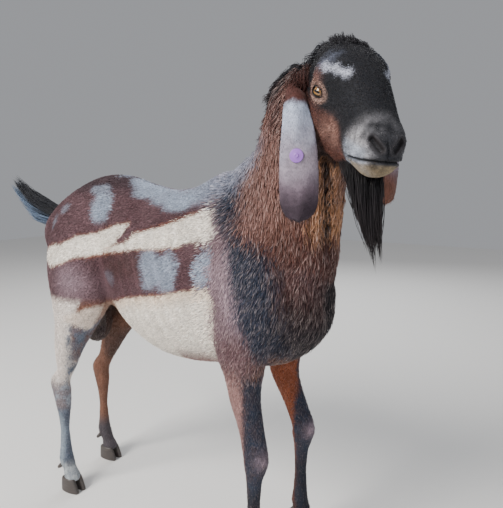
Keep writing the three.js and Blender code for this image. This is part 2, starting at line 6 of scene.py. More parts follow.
import bmesh
import bpy
import numpy as np
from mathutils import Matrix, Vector


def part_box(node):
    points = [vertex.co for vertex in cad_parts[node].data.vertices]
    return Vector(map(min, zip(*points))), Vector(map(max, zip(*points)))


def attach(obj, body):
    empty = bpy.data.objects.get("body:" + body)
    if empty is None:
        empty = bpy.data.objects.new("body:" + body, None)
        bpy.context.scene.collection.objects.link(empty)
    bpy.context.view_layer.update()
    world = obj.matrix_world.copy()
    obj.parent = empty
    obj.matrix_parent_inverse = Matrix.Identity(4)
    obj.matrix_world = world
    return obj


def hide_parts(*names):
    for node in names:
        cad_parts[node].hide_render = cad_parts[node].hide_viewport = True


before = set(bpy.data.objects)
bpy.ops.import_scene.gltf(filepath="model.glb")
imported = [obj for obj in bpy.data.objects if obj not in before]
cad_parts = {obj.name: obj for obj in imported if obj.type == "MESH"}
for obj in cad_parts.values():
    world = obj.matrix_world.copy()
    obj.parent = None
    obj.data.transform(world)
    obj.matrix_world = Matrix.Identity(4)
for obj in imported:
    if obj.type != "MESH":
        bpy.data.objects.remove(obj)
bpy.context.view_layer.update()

# Floor, light and camera
# A pale floor, a large soft light from the animal's right rear and weaker ones from its
# front and left rear, as in a studio. The camera stands at the height of the animal's back.
FLOOR_SIZE = 14.0
CAMERA_AT = (0.891, -1.086, 0.958)
CAMERA_TURN = math.radians(31.9)
CAMERA_DIP = math.radians(8.0)
FOCAL_PIXELS = 520
PHOTO_HEIGHT = 508
SENSOR = 36.0
LIGHTS_AIM_AT = (0.1, 0, 0.75)
SKY_TINT = (0.93, 0.95, 1.0, 1)
SKY_STRENGTH = 0.37


def plain_material(name, colour, roughness):
    """A material with one shader; gives back the material, its nodes and links, the shader."""
    made = bpy.data.materials.new(name)
    made.use_nodes = True
    shader = made.node_tree.nodes["Principled BSDF"]
    shader.inputs["Base Color"].default_value = (*colour, 1)
    shader.inputs["Roughness"].default_value = roughness
    return made, made.node_tree.nodes, made.node_tree.links, shader


bpy.ops.mesh.primitive_plane_add(size=FLOOR_SIZE)
floor = bpy.context.object
floor.name = "studio_floor"
floor_paint, *_ = plain_material("pale_floor", (0.80, 0.79, 0.77), 0.75)
floor.data.materials.append(floor_paint)

for lamp_name, at, size, watts, tint in (
    ("key_light", (-1.3, -3.0, 3.3), 1.9, 285, (1.0, 0.97, 0.93)),
    ("fill_light", (3.0, -2.4, 1.9), 2.6, 45, (0.90, 0.94, 1.0)),
    ("rim_light", (-1.2, 3.4, 2.8), 2.4, 80, (0.96, 0.98, 1.0)),
):
    lamp = bpy.data.lights.new(lamp_name, "AREA")
    lamp.size = size
    lamp.energy = watts
    lamp.color = tint
    holder = bpy.data.objects.new(lamp_name, lamp)
    holder.location = at
    aim = Vector(LIGHTS_AIM_AT) - Vector(at)
    holder.rotation_euler = aim.to_track_quat("-Z", "Y").to_euler()
    bpy.context.collection.objects.link(holder)

world = bpy.data.worlds.new("studio")
world.use_nodes = True
world.node_tree.nodes["Background"].inputs[0].default_value = SKY_TINT
world.node_tree.nodes["Background"].inputs[1].default_value = SKY_STRENGTH
bpy.context.scene.world = world

# Skin
# The hide over muscle and bone, one surface from nose to hooves. Each body form is a run
# of rings, in millimetres on the animal's own axes, and one remesh fuses them all.
MM = 0.001
UP = np.array([0.0, 0, 1])
LEFT = np.array([0.0, 1, 0])
AHEAD = np.array([1.0, 0, 0])
WITHERS_HEIGHT = 985
CHEST_FLOOR = 497
KNEE_HEIGHT = 303
HOCK_HEIGHT = 322
FETLOCK_HEIGHT = 98
HOOF_HEIGHT = 46
FEET = {
    "foreleg_r": (292, -106),
    "foreleg_l": (318, 92),
    "hindleg_r": (-398, -94),
    "hindleg_l": (-446, 106),
}
HEAD_AT = np.array([485.0, -121, 1190])
HEAD_TURN, HEAD_DIP, HEAD_TILT = np.radians([-49, 17.5, -3.5])
EYE_AT = np.array([97.0, 51, -54])
EYE_RADIUS = 15
SKIN_VOXEL = 0.005
COAT_DEPTH = 4
LEG_COAT_DEPTH = 0.8
FACE_COAT_DEPTH = 1.8


def turn(axis, angle):
    """A 3x3 rotation about one of the axes 0, 1, 2."""
    c, s = math.cos(angle), math.sin(angle)
    i, j = [(1, 2), (2, 0), (0, 1)][axis]
    made = np.eye(3)
    made[i, i] = made[j, j] = c
    made[j, i] = s
    made[i, j] = -s
    return made


HEAD_AXES = turn(2, HEAD_TURN) @ turn(1, HEAD_DIP) @ turn(0, HEAD_TILT)


def on_head(places):
    """Head places, x from the poll to the nose, on the animal's own axes."""
    return HEAD_AT + np.asarray(places, float) @ HEAD_AXES.T


eye_low, eye_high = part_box("eye_r")
eye_centre = (np.array(eye_low) + np.array(eye_high)) / 2 / MM
AXES_AT = eye_centre - on_head(EYE_AT * [1, -1, 1])
AXES_AT[2] = 0

camera_data = bpy.data.cameras.new("camera")
camera_data.sensor_width = SENSOR
camera_data.lens = FOCAL_PIXELS / PHOTO_HEIGHT * SENSOR
camera = bpy.data.objects.new("camera", camera_data)
camera.location = Vector(CAMERA_AT) + Vector(AXES_AT) * MM
camera.rotation_euler = (math.pi / 2 - CAMERA_DIP, 0, CAMERA_TURN)
bpy.context.collection.objects.link(camera)
bpy.context.scene.camera = camera


def unit(v):
    return v / np.maximum(np.linalg.norm(v, axis=-1, keepdims=True), 1e-9)


def smooth(keys, t):
    """Rows of key values read off by a smooth curve at each t from 0 to 1."""
    keys = np.asarray(keys, float)
    at = np.clip(t, 0, 0.999999) * (len(keys) - 1)
    i = at.astype(int)
    f = (at - i)[:, None]
    a, b, c, d = (keys[np.clip(i + k, 0, len(keys) - 1)] for k in (-1, 0, 1, 2))
    return b + 0.5 * f * (c - a + f * (2 * a - 5 * b + 4 * c - d + f * (3 * (b - c) + d - a)))


def station(at, above, below, wide, up=UP, side=LEFT, top=2.0, base=2.0):
    """Centre, reach along up and against it, half width, axes, squareness above and below."""
    return [*at, above, below, wide, *up, *side, top, base]


def skin_faces(rings, sides):
    """Quads between rings, with one many-sided face at each end."""
    i, j = np.meshgrid(np.arange(rings - 1), np.arange(sides), indexing="ij")
    k = (j + 1) % sides
    quads = np.stack([i * sides + j, i * sides + k, (i + 1) * sides + k, (i + 1) * sides + j], -1)
    first = list(range(sides - 1, -1, -1))
    last = [(rings - 1) * sides + n for n in range(sides)]
    return quads.reshape(-1, 4).tolist() + [first, last]


def form(stations, rings, sides, swells=(), inset=0.0, local=False):
    """A body form's points and faces. Swells push it out or in: (x, y, z, radius, height)."""
    s = smooth(stations, np.linspace(0, 1, rings))
    centre, up, side = s[:, None, 0:3], unit(s[:, None, 6:9]), unit(s[:, None, 9:12])
    angle = np.linspace(0, 2 * np.pi, sides, endpoint=False)[None, :]
    c, n = np.cos(angle), np.sin(angle)
    power = 2 / np.where(n > 0, s[:, 12:13], s[:, 13:14])
    across = (s[:, 5:6] - inset) * np.sign(c) * np.abs(c) ** power
    reach = np.where(n > 0, s[:, 3:4], s[:, 4:5]) - inset
    along = reach * np.sign(n) * np.abs(n) ** power
    out = side * across[..., None] + up * along[..., None]
    points = centre + out
    away = unit(out)
    push = np.zeros(across.shape)
    for x, y, z, radius, height in swells:
        push += height * np.exp(-((points - [x, y, z]) ** 2).sum(-1) / radius**2)
    points = (points + away * push[..., None]).reshape(-1, 3)
    if local:
        points = on_head(points)
    return points, skin_faces(rings, sides)


def both_sides(swells):
    return [(x, side * y, z, r, h) for x, y, z, r, h in swells for side in (-1, 1)]


TORSO = [
    # x, top, widest level, bottom, half width, squareness above and below
    (-508, 842, 800, 742, 26, 2, 2),
    (-478, 874, 800, 690, 74, 2, 2),
    (-405, 925, 815, 645, 106, 2.1, 2),
    (-310, 966, 820, 612, 116, 2.1, 2),
    (-215, 977, 800, 575, 128, 2.1, 2),
    (-115, 955, 735, 522, 152, 2.1, 2.1),
    (-20, 938, 700, 490, 166, 2.1, 2.2),
    (70, 950, 695, CHEST_FLOOR - 14, 164, 2.0, 2.2),
    (150, WITHERS_HEIGHT, 700, CHEST_FLOOR - 8, 148, 1.8, 2.1),
    (235, 968, 700, CHEST_FLOOR, 134, 1.8, 2.1),
    (315, 900, 700, CHEST_FLOOR + 18, 118, 2, 2),
    (385, 800, 690, CHEST_FLOOR + 66, 92, 2, 2),
    (422, 735, 672, CHEST_FLOOR + 116, 44, 2, 2),
]
# Hip bones, pin bones, hollow flanks, loin, shoulder blade, point of the shoulder
TORSO_SWELLS = both_sides(
    [
        (-235, 95, 935, 62, 15),
        (-478, 70, 800, 55, 10),
        (-225, 140, 690, 85, -16),
        (-150, 150, 860, 80, -10),
        (150, 110, 900, 80, 6),
        (180, 88, 955, 26, 5),
        (388, 80, 700, 44, 9),
    ]
)


def profile_form(rows, rings, sides, swells, inset, local=False):
    """A form along the animal or its head, from rows like those of TORSO."""
    stations = [
        station((x, 0, level), top - level, level - low, wide, top=above, base=below)
        for x, top, level, low, wide, above, below in rows
    ]
    return form(stations, rings, sides, swells, inset, local)


NECK = [
    # nape, throat, half width, how far the ring has turned with the head
    ((128, 0, 960), (408, 0, 640), 112, 0),
    ((195, -2, 1002), (432, -3, 722), 106, 0.05),
    ((255, -16, 1042), (449, -24, 812), 92, 0.2),
    ((304, -44, 1114), (462, -58, 898), 80, 0.45),
    ((350, -74, 1174), (478, -90, 965), 70, 0.7),
    ((412, -96, 1200), (502, -114, 1010), 58, 0.9),
]


def neck_form(inset):
    stations = []
    for nape, throat, wide, turned in NECK:
        high, low = np.array(nape, float), np.array(throat, float)
        half = np.linalg.norm(high - low) / 2
        side = turn(2, HEAD_TURN * turned) @ LEFT
        stations.append(station((high + low) / 2, half, half, wide, unit(high - low), side))
    return form(stations, 70, 80, (), inset)


HEAD = [
    # x, profile, widest level, underside, half width, squareness above and below
    (-62, -36, -88, -132, 36, 2, 2),
    (-32, 4, -78, -156, 48, 2.1, 2),
    (4, 26, -64, -166, 57, 2.3, 1.8),
    (50, 34, -54, -172, 62, 2.5, 1.7),
    (96, 29, -52, -172, 64, 2.7, 1.6),
    (136, 19, -56, -168, 56, 2.7, 1.6),
    (174, 3, -64, -162, 48, 2.6, 1.7),
    (210, -17, -76, -157, 43, 2.5, 1.9),
    (243, -38, -88, -154, 39, 2.4, 2.1),
    (272, -60, -97, -150, 36, 2.3, 2.2),
    (295, -82, -105, -144, 31, 2.2, 2.2),
    (308, -100, -112, -132, 16, 2, 2),
]
# Brow, cheek bone, jaw muscle, hollow before the eye, nostril wing, upper lip, chin
HEAD_SWELLS = both_sides(
    [
        (100, 58, -20, 28, 9),
        (134, 58, -56, 22, -5),
        (60, 54, -115, 44, 3),
        (170, 49, -80, 34, -5),
        (278, 32, -84, 20, 5),
        (243, 34, -108, 26, 4),
    ]
) + [(262, 0, -158, 28, 6)]


def leg_form(name, lines, swells, inset):
    foot = FEET[name]
    stations = [
        station((x + foot[0], y + foot[1], z), fore, back, wide, AHEAD, LEFT, shape, shape)
        for x, y, z, fore, back, wide, shape in lines
    ]
    return form(stations, 120, 44, swells, inset)


def foreleg_form(name, inset):
    x0, y0 = FEET[name]
    side = math.copysign(1, y0)
    drift, inward = 268 - x0, side * 100 - y0
    lines = [
        # x and y from the foot, height, reach ahead, reach behind, half width, squareness
        (drift - 66, inward - side * 18, 905, 26, 34, 22, 2),
        (drift - 40, inward - side * 6, 850, 62, 66, 42, 2),
        (drift - 6, inward + side * 6, 760, 92, 88, 52, 2),
        (drift + 6, inward + side * 8, 670, 96, 92, 54, 2),
        (drift - 8, inward + side * 4, 590, 72, 76, 50, 2),
        (drift - 12, inward, 520, 50, 50, 42, 2),
        (drift - 8, inward * 0.7, 450, 39, 38, 34, 2),
        (drift * 0.5 - 2, inward * 0.4, 380, 32, 31, 28, 2),
        (-2, 0, KNEE_HEIGHT + 22, 31, 28, 28, 2.2),
        (0, 0, KNEE_HEIGHT - 12, 29, 25, 26, 2.3),
        (-3, 0, KNEE_HEIGHT - 55, 19, 20, 19, 2),
        (-4, 0, 195, 17, 18, 17, 2),
        (-4, 0, 140, 18, 20, 18, 2),
        (-4, 0, FETLOCK_HEIGHT, 22, 24, 22, 2.2),
        (8, 0, 68, 20, 21, 21, 2.2),
        (14, 0, HOOF_HEIGHT, 24, 26, 24, 2.4),
        (14, 0, HOOF_HEIGHT - 14, 24, 26, 24, 2.4),
    ]
    # Elbow, knee bones and the tendon behind the cannon
    swells = [
        (x0 + drift - 70, y0 + inward, 548, 36, 10),
        (x0 + 26, y0, KNEE_HEIGHT + 4, 13, 3),
        (x0 - 22, y0, KNEE_HEIGHT - 8, 12, 4),
        (x0 + 2, y0 + side * 20, 190, 22, -2),
        (x0 + 2, y0 - side * 20, 190, 22, -2),
    ]
    return leg_form(name, lines, swells, inset)


def hindleg_form(name, inset):
    x0, y0 = FEET[name]
    side = math.copysign(1, y0)
    drift, inward = -398 - x0, side * 94 - y0
    lines = [
        # x and y from the foot, height, reach ahead, reach behind, half width, squareness
        (drift + 130, inward - side * 26, 920, 40, 50, 26, 2),
        (drift + 110, inward - side * 10, 850, 92, 110, 46, 2),
        (drift + 96, inward, 770, 120, 122, 58, 2),
        (drift + 92, inward + side * 4, 690, 122, 118, 62, 2),
        (drift + 94, inward + side * 6, 610, 100, 104, 58, 2),
        (drift + 72, inward + side * 6, 540, 70, 80, 46, 2),
        (drift * 0.8 + 36, inward + side * 4, 468, 48, 56, 34, 2),
        (drift * 0.6 + 10, inward * 0.6, 405, 34, 36, 26, 2),
        (drift * 0.4 - 14, inward * 0.3, HOCK_HEIGHT + 32, 27, 34, 23, 2),
        (-16, 0, HOCK_HEIGHT - 4, 27, 30, 24, 2.2),
        (-12, 0, HOCK_HEIGHT - 48, 22, 25, 21, 2.2),
        (-12, 0, 225, 16, 17, 16, 2),
        (-12, 0, 150, 16, 18, 16, 2),
        (-11, 0, FETLOCK_HEIGHT, 20, 23, 21, 2.2),
        (2, 0, 68, 18, 20, 20, 2.2),
        (12, 0, HOOF_HEIGHT, 23, 25, 23, 2.4),
        (12, 0, HOOF_HEIGHT - 14, 23, 25, 23, 2.4),
    ]
    # Point of the hock, the hollow before its tendon, and the cannon's grooves
    swells = [
        (x0 - 52, y0, HOCK_HEIGHT + 24, 26, 9),
        (x0 - 24, y0 + side * 22, HOCK_HEIGHT + 62, 24, -6),
        (x0 - 24, y0 - side * 22, HOCK_HEIGHT + 62, 24, -6),
        (x0 - 8, y0 + side * 18, 190, 22, -2),
        (x0 - 8, y0 - side * 18, 190, 22, -2),
    ]
    return leg_form(name, lines, swells, inset)


def scrotum_form(inset):
    lines = [
        (-345, 640, 22, 30),
        (-348, 605, 30, 34),
        (-350, 560, 40, 44),
        (-350, 515, 42, 50),
        (-350, 478, 26, 34),
        (-350, 464, 8, 10),
    ]
    stations = [station((x, 0, z), fore, fore, wide, AHEAD) for x, z, fore, wide in lines]
    return form(stations, 40, 40, (), inset)


TAIL_ROOT = np.array([-452.0, 0, 834])
TAIL_TIP = TAIL_ROOT + np.array([-232.5, -14, 107.5])
tail_way = unit(TAIL_TIP - TAIL_ROOT)
tail_up = -unit(np.cross(tail_way, LEFT))


def tail_line(t):
    """The tail's middle line, sagging below the straight run from root to tip."""
    t = np.asarray(t, float)[..., None]
    return TAIL_ROOT + (TAIL_TIP - TAIL_ROOT) * t - tail_up * 26 * np.sin(np.pi * t)


def tail_form(inset):
    stations = [
        station(tail_line(t), reach, reach, reach * 1.15, tail_up, -LEFT)
        for t, reach in zip((0, 0.16, 0.34, 0.52, 0.68), (28, 27, 21, 15, 7))
    ]
    return form(stations, 40, 30, (), inset)


def mesh_object(name, points, faces):
    """An object with smooth faces from millimetres on the animal's own axes."""
    mesh = bpy.data.meshes.new(name)
    mesh.from_pydata(((np.asarray(points) + AXES_AT) * MM).tolist(), [], faces)
    mesh.shade_smooth()
    made = bpy.data.objects.new(name, mesh)
    bpy.context.collection.objects.link(made)
    return made


def joined(forms):
    """Points and faces of several forms as one mesh."""
    points, faces, count = [], [], 0
    for form_points, form_faces in forms:
        points.append(form_points)
        faces += [[i + count for i in face] for face in form_faces]
        count += len(form_points)
    return np.concatenate(points), faces


def applied(obj):
    """Applies an object's modifiers."""
    bpy.context.view_layer.objects.active = obj
    for modifier in list(obj.modifiers):
        bpy.ops.object.modifier_apply(modifier=modifier.name)


def own_points(mesh):
    """Mesh points as an array, in millimetres on the animal's own axes."""
    made = np.empty(len(mesh.vertices) * 3)
    mesh.vertices.foreach_get("co", made)
    return made.reshape(-1, 3) / MM - AXES_AT


def set_points(mesh, points):
    mesh.vertices.foreach_set("co", ((points + AXES_AT) * MM).ravel())
    mesh.update()


def relax(points, edges, weight, times):
    """Draws each point towards the middle of its neighbours, by its weight."""
    count = len(points)
    degree = np.maximum(np.bincount(edges.ravel(), minlength=count), 1)
    for _ in range(times):
        middle = np.stack(
            [
                np.bincount(edges[:, 0], points[edges[:, 1], k], count)
                + np.bincount(edges[:, 1], points[edges[:, 0], k], count)
                for k in range(3)
            ],
            1,
        )
        points = points + (middle / degree[:, None] - points) * weight[:, None]
    return points


def edges_of(mesh):
    made = np.empty(len(mesh.edges) * 2, np.int32)
    mesh.edges.foreach_get("vertices", made)
    return made.reshape(-1, 2)


def normals_of(mesh):
    made = np.empty(len(mesh.vertices) * 3, np.float32)
    mesh.vertex_normals.foreach_get("vector", made)
    return made.reshape(-1, 3).astype(float)


def step(value, low, high):
    """0 below low, 1 above high, smooth between; low may be the larger."""
    t = np.clip((value - low) / (high - low), 0, 1)
    return t * t * (3 - 2 * t)


skin_forms = [
    profile_form(TORSO, 110, 90, TORSO_SWELLS, COAT_DEPTH),
    neck_form(COAT_DEPTH + 2),
    profile_form(HEAD, 100, 90, HEAD_SWELLS, FACE_COAT_DEPTH, local=True),
    scrotum_form(3),
    tail_form(4),
]
for leg in FEET:
    make = foreleg_form if leg.startswith("fore") else hindleg_form
    skin_forms.append(make(leg, LEG_COAT_DEPTH))
skin = mesh_object("skin", *joined(skin_forms))
fuse = skin.modifiers.new("fuse", "REMESH")
fuse.mode = "VOXEL"
fuse.voxel_size = SKIN_VOXEL
applied(skin)


def head_places(points):
    """Places on the animal's own axes given in the head's frame."""
    return (points - HEAD_AT) @ HEAD_AXES


def face_share(points):
    """1 on the face and brow, 0 behind the poll and below the throat's height."""
    return step(head_places(points)[:, 0], -20, 30) * step(points[:, 2], 860, 940)


# The joints between the forms are softened: widely on the trunk, a little on face and feet
points = own_points(skin.data)
face_part = face_share(points)
trunk_part = step(points[:, 2], 470, 600) * (1 - face_part)
edges = edges_of(skin.data)
points = relax(points, edges, np.full(len(points), 0.4), 3)
on_nape = step(points[:, 2], 1010, 1070) * step(points[:, 0], 220, 270)
points = relax(points, edges, trunk_part * 0.6 * (1 - 0.4 * on_nape), 28)
set_points(skin.data, points)


def head_share(points):
    """1 on the head, 0 on neck and throat."""
    in_head = head_places(points)
    return step(in_head[:, 0], -30, 4) * step(in_head[:, 2], -192, -176) * step(points[:, 2], 860, 930)


def finer(mesh, chosen):
    """Cuts the faces whose points are all chosen into four."""
    bm = bmesh.new()
    bm.from_mesh(mesh)
    bm.verts.ensure_lookup_table()
    cut = [e for e in bm.edges if chosen[e.verts[0].index] and chosen[e.verts[1].index]]
    bmesh.ops.subdivide_edges(bm, edges=cut, cuts=1, use_grid_fill=True)
    bm.to_mesh(mesh)
    bm.free()


# The eyes look out and a little forward; lids, nostrils and lips get finer faces
EYE_OUT, EYE_ALONG = {}, {}
for side in (-1, 1):
    EYE_OUT[side] = unit(np.array([0.72, side, 0.18]))
    EYE_ALONG[side] = unit(np.array([1, -0.7 * side, -0.32]))


def eye_places(in_head, side):
    """Along the lid, above it and out of the head, in millimetres from the eye's middle."""
    out = EYE_OUT[side]
    above = unit(np.cross(out, EYE_ALONG[side])) * -side
    along = unit(np.cross(above, out)) * -side
    return (in_head - EYE_AT * [1, side, 1]) @ np.stack([along, above, out], 1)


NOSTRIL = np.array([[305.0, 11, -101], [300, 17, -95], [293, 23, -89]])


def nostril_distance(in_head):
    """Distance from the comma-shaped line of the nearer nostril."""
    mirrored = in_head * [1, 0, 1] + np.abs(in_head[:, 1:2]) * [0, 1, 0]
    best = np.full(len(in_head), 1e9)
    for a, b in zip(NOSTRIL[:-1], NOSTRIL[1:]):
        t = np.clip(((mirrored - a) @ (b - a)) / ((b - a) @ (b - a)), 0, 1)[:, None]
        best = np.minimum(best, np.linalg.norm(mirrored - a - t * (b - a), axis=1))
    return best


def mouth_level(x):
    """Height of the mouth's line along the face."""
    return np.interp(x, [200, 214, 250, 278, 298, 312], [-134, -133, -128, -124, -120, -117])


def fine_zones(points, reach):
    in_head = head_places(points)
    near = nostril_distance(in_head) < 12 * reach
    near |= (in_head[:, 0] > 190) & (np.abs(in_head[:, 2] - mouth_level(in_head[:, 0])) < 8 * reach)
    for side in (-1, 1):
        near |= np.linalg.norm(in_head - EYE_AT * [1, side, 1], axis=1) < 22 + 8 * reach
    return near


finer(skin.data, face_part > 0.5)
finer(skin.data, fine_zones(own_points(skin.data), 1.6))
finer(skin.data, fine_zones(own_points(skin.data), 1.0))
points = own_points(skin.data)
face_part = face_share(points)
points = relax(points, edges_of(skin.data), face_part * 0.5, 5)
set_points(skin.data, points)


def bell(distance, width):
    return np.exp(-((distance / width) ** 2))


# Lips, nostrils and the muzzle's cleft
normals = normals_of(skin.data)
in_head = head_places(points)
x, y, z = in_head.T
lip = z - mouth_level(x)
on_lips = step(x, 198, 216) * face_part
push = on_lips * (-4.2 * bell(lip, 1.9) + 1.6 * bell(lip - 5, 3.4) + 1.3 * bell(lip + 5, 3.4))
pit = nostril_distance(in_head)
push += face_part * (-9 * bell(pit, 3.4) + 2.0 * bell(pit - 7, 3.0) * step(x, 262, 285))
push += -1.8 * bell(y, 1.8) * step(x, 294, 302) * step(z, -124, -114) * face_part
# Hollow under the cheek bone, and the jaw muscle's edge
jaw_edge = bell(x - 92 - 0.25 * (z + 120), 7) * step(z, -80, -110) * step(z, -172, -150)
push += face_part * (-2.5 * bell(np.hypot(x - 142, z + 92), 22) - 2.0 * jaw_edge)
points = points + normals * push[:, None]

# Lids: skin drawn over the ball of the eye, open in an almond with a thick rim
for side in (-1, 1):
    u, w, h = eye_places(head_places(points), side).T
    spread = np.sqrt(u * u + w * w)
    upper = 7.6 * np.clip(1 - ((u + 0.5) / 14.0) ** 2, 0, 1) ** 0.8 + 0.5
    lower = -5.6 * np.clip(1 - ((u - 0.5) / 14.0) ** 2, 0, 1) ** 0.8 + 0.5
    inside = np.minimum(upper - w, w - lower)
    inside = np.where(np.abs(u) > 13.8, -np.maximum(np.abs(u) - 13.8, np.abs(w - 0.5)), inside)
    dome = np.sqrt(np.maximum((EYE_RADIUS + 2.4) ** 2 - spread**2, 0))
    near = step(spread, 25, 17) * step(h, -8, 2)
    drawn = np.maximum(h, dome) * near + h * (1 - near)
    rim = bell(inside + 1.2, 1.5) * 1.1
    folds = -1.5 * bell(w - upper - 5.2, 1.3) - 0.9 * bell(w - upper - 9.2, 1.6)
    folds += -1.1 * bell(w - lower + 4.2, 1.2) - 0.7 * bell(w - lower + 8.0, 1.6)
    folds *= step(np.abs(u), 19, 10)
    opened = step(inside, -0.5, 0.7) * (spread < 20)
    new_h = (drawn + (rim + folds) * near) * (1 - opened) + (dome - 8.0) * opened
    moved = (new_h - h) * (h > -8)
    points = points + (moved[:, None] * (HEAD_AXES @ EYE_OUT[side]))
set_points(skin.data, points)

THROAT = np.array([[463.0, -114, 985], [444, -65, 859]])
THROAT_ACROSS = np.array([0.849, 0.528, 0])
THROAT_OUT = np.array([0.528, -0.849, 0])


def throat_line(points):
    """Distance from the groove of the throat, and how far down it, 0 to 1."""
    start, way = THROAT[0], THROAT[1] - THROAT[0]
    along = (points - start) @ way / (way @ way)
    apart = points - start - way * np.clip(along, -0.4, 1.7)[:, None]
    deep = np.maximum(np.abs(apart @ THROAT_OUT) - 45, 0)
    return np.hypot(apart @ THROAT_ACROSS, deep), along


# Ribs under the flank, folds of the breast and throat, and the one behind the jaw
normals = normals_of(skin.data)
x, y, z = points.T
in_head = head_places(points)
ribs = step(x, -150, -90) * step(x, 150, 90) * step(z, 900, 820) * step(z, 520, 600)
push = ribs * 0.8 * np.sin((x + 0.35 * (z - 700)) / 36 * 2 * np.pi)
push += -4 * bell(y + 6, 14) * step(x, 330, 380) * step(z, 560, 620) * step(z, 760, 700)
apart, along = throat_line(points)
on_throat = step(along, -0.4, 0.1) * step(along, 1.7, 1.2)
push += on_throat * (-10 * bell(apart, 8) + 6 * bell(apart - 18, 8) - 4 * bell(apart - 34, 6))
jaw_fold = in_head[:, 0] - 24 - 0.25 * (in_head[:, 2] + 120)
push += -4 * bell(jaw_fold, 7) * step(in_head[:, 2], -70, -100) * (z > 930)
points = points + normals * push[:, None]
set_points(skin.data, points)

# Coat colours
# Chestnut and mauve-brown with cream bands of painted sunlight on the flanks, edged with painted
# orange and tan light, and pale blue dapples that are partly roan hair and partly painted sky
# sheen; a blue-black shoulder and face. Colours are worked out for each place, in metres.
INK = (0.0078, 0.0086, 0.0125)
SLATE = (0.024, 0.032, 0.054)
# Blue-grey of the withers: partly roan hair, partly painted sky sheen
ROAN_AND_SKY_SHEEN = (0.24, 0.265, 0.345)
CHESTNUT = (0.079, 0.037, 0.044)
MAUVE = (0.146, 0.080, 0.091)
DUSK = (0.300, 0.215, 0.250)
# Orange and tan painted light, where the painted sunlight of the bands fades into the shaded coat
SUN_EDGE_ORANGE = (0.30, 0.085, 0.030)
SUN_EDGE_TAN = (0.50, 0.29, 0.17)
# Cream painted sunlight: the brown coat as it looks where the sun falls on it, in the bands
PAINTED_SUNLIGHT = (0.83, 0.77, 0.69)
# Pale blue of the dapples: partly roan hair, partly painted sky sheen on the glossy coat
ROAN_AND_SHEEN_PALE = (0.31, 0.365, 0.46)
LID = (0.010, 0.008, 0.008)
# Places of markings are in metres from a point under the animal's middle
MARKINGS_FROM = np.array([14.5, 71.6, 0])
MIDDLE = 0.0716
# Where the dusky shoulder ends: heights, and x at each
SHOULDER_EDGE = (
    (0.50, 0.587, 0.70, 0.808, 0.86, 0.914, 0.98),
    (0.35, 0.332, 0.312, 0.285, 0.255, 0.218, 0.178),
)
# Where the painted sunlight on the near thigh ends: heights, and x at each
THIGH_SUN_EDGE = (
    (0.33, 0.36, 0.45, 0.55, 0.60, 0.64),
    (-0.362, -0.350, -0.322, -0.282, -0.250, -0.225),
)
# The line of the nape: x, and heights at each
NAPE_LINE = (
    (0.14, 0.21, 0.27, 0.32, 0.365, 0.43),
    (0.985, 1.022, 1.065, 1.14, 1.2, 1.26),
)


def lattice_noise(points, size, seed):
    """Smooth noise from -1 to 1 over points, with cells of the given size."""
    at = np.asarray(points) / size + 37.7 * seed
    cell = np.floor(at).astype(np.int64)
    f = at - cell
    f = f * f * (3 - 2 * f)
    total = np.zeros(len(at))
    for dx in (0, 1):
        for dy in (0, 1):
            for dz in (0, 1):
                key = (cell + [dx, dy, dz]) * [73856093, 19349663, 83492791]
                key = (key[:, 0] ^ key[:, 1] ^ key[:, 2] ^ (seed * 2654435)) & 0x7FFFFFFF
                key = (key ^ (key >> 13)) * 1274126177 & 0x7FFFFFFF
                value = ((key ^ (key >> 16)) & 0xFFFF) / 32767.5 - 1
                wx = f[:, 0] if dx else 1 - f[:, 0]
                wy = f[:, 1] if dy else 1 - f[:, 1]
                wz = f[:, 2] if dz else 1 - f[:, 2]
                total += value * wx * wy * wz
    return total


def layered_noise(points, size, seed):
    """Two noises, the second half as strong and about half as large."""
    second = lattice_noise(points, size / 2.1, seed + 1)
    return (lattice_noise(points, size, seed) + 0.5 * second) / 1.5


# Bands of painted sunlight as (x, upper edge, lower edge); dapples, partly roan hair and partly
# painted sky sheen, as (x, z, half length, half height, strength)
SUNLIGHT_BANDS = {
    "rear": (
        (-0.400, 0.752, 0.738), (-0.372, 0.773, 0.727), (-0.342, 0.784, 0.722), (-0.300, 0.786, 0.735),
        (-0.236, 0.809, 0.752), (-0.180, 0.818, 0.764), (-0.128, 0.838, 0.775), (-0.090, 0.846, 0.812),
        (-0.058, 0.852, 0.848),
    ),
    "front": (
        (-0.135, 0.781, 0.775), (-0.100, 0.790, 0.778), (-0.055, 0.804, 0.785), (-0.030, 0.828, 0.788),
        (0.020, 0.838, 0.793), (0.091, 0.860, 0.802), (0.150, 0.882, 0.811), (0.192, 0.897, 0.818),
        (0.207, 0.880, 0.822), (0.213, 0.850, 0.838),
    ),
    "belly": (
        (-0.300, 0.580, 0.570), (-0.268, 0.592, 0.556), (-0.240, 0.602, 0.540), (-0.209, 0.614, 0.510),
        (-0.140, 0.632, 0.470), (-0.057, 0.660, 0.440),
        (0.030, 0.679, 0.440), (0.101, 0.692, 0.440), (0.190, 0.708, 0.450), (0.207, 0.700, 0.500),
        (0.216, 0.640, 0.560),
    ),
}
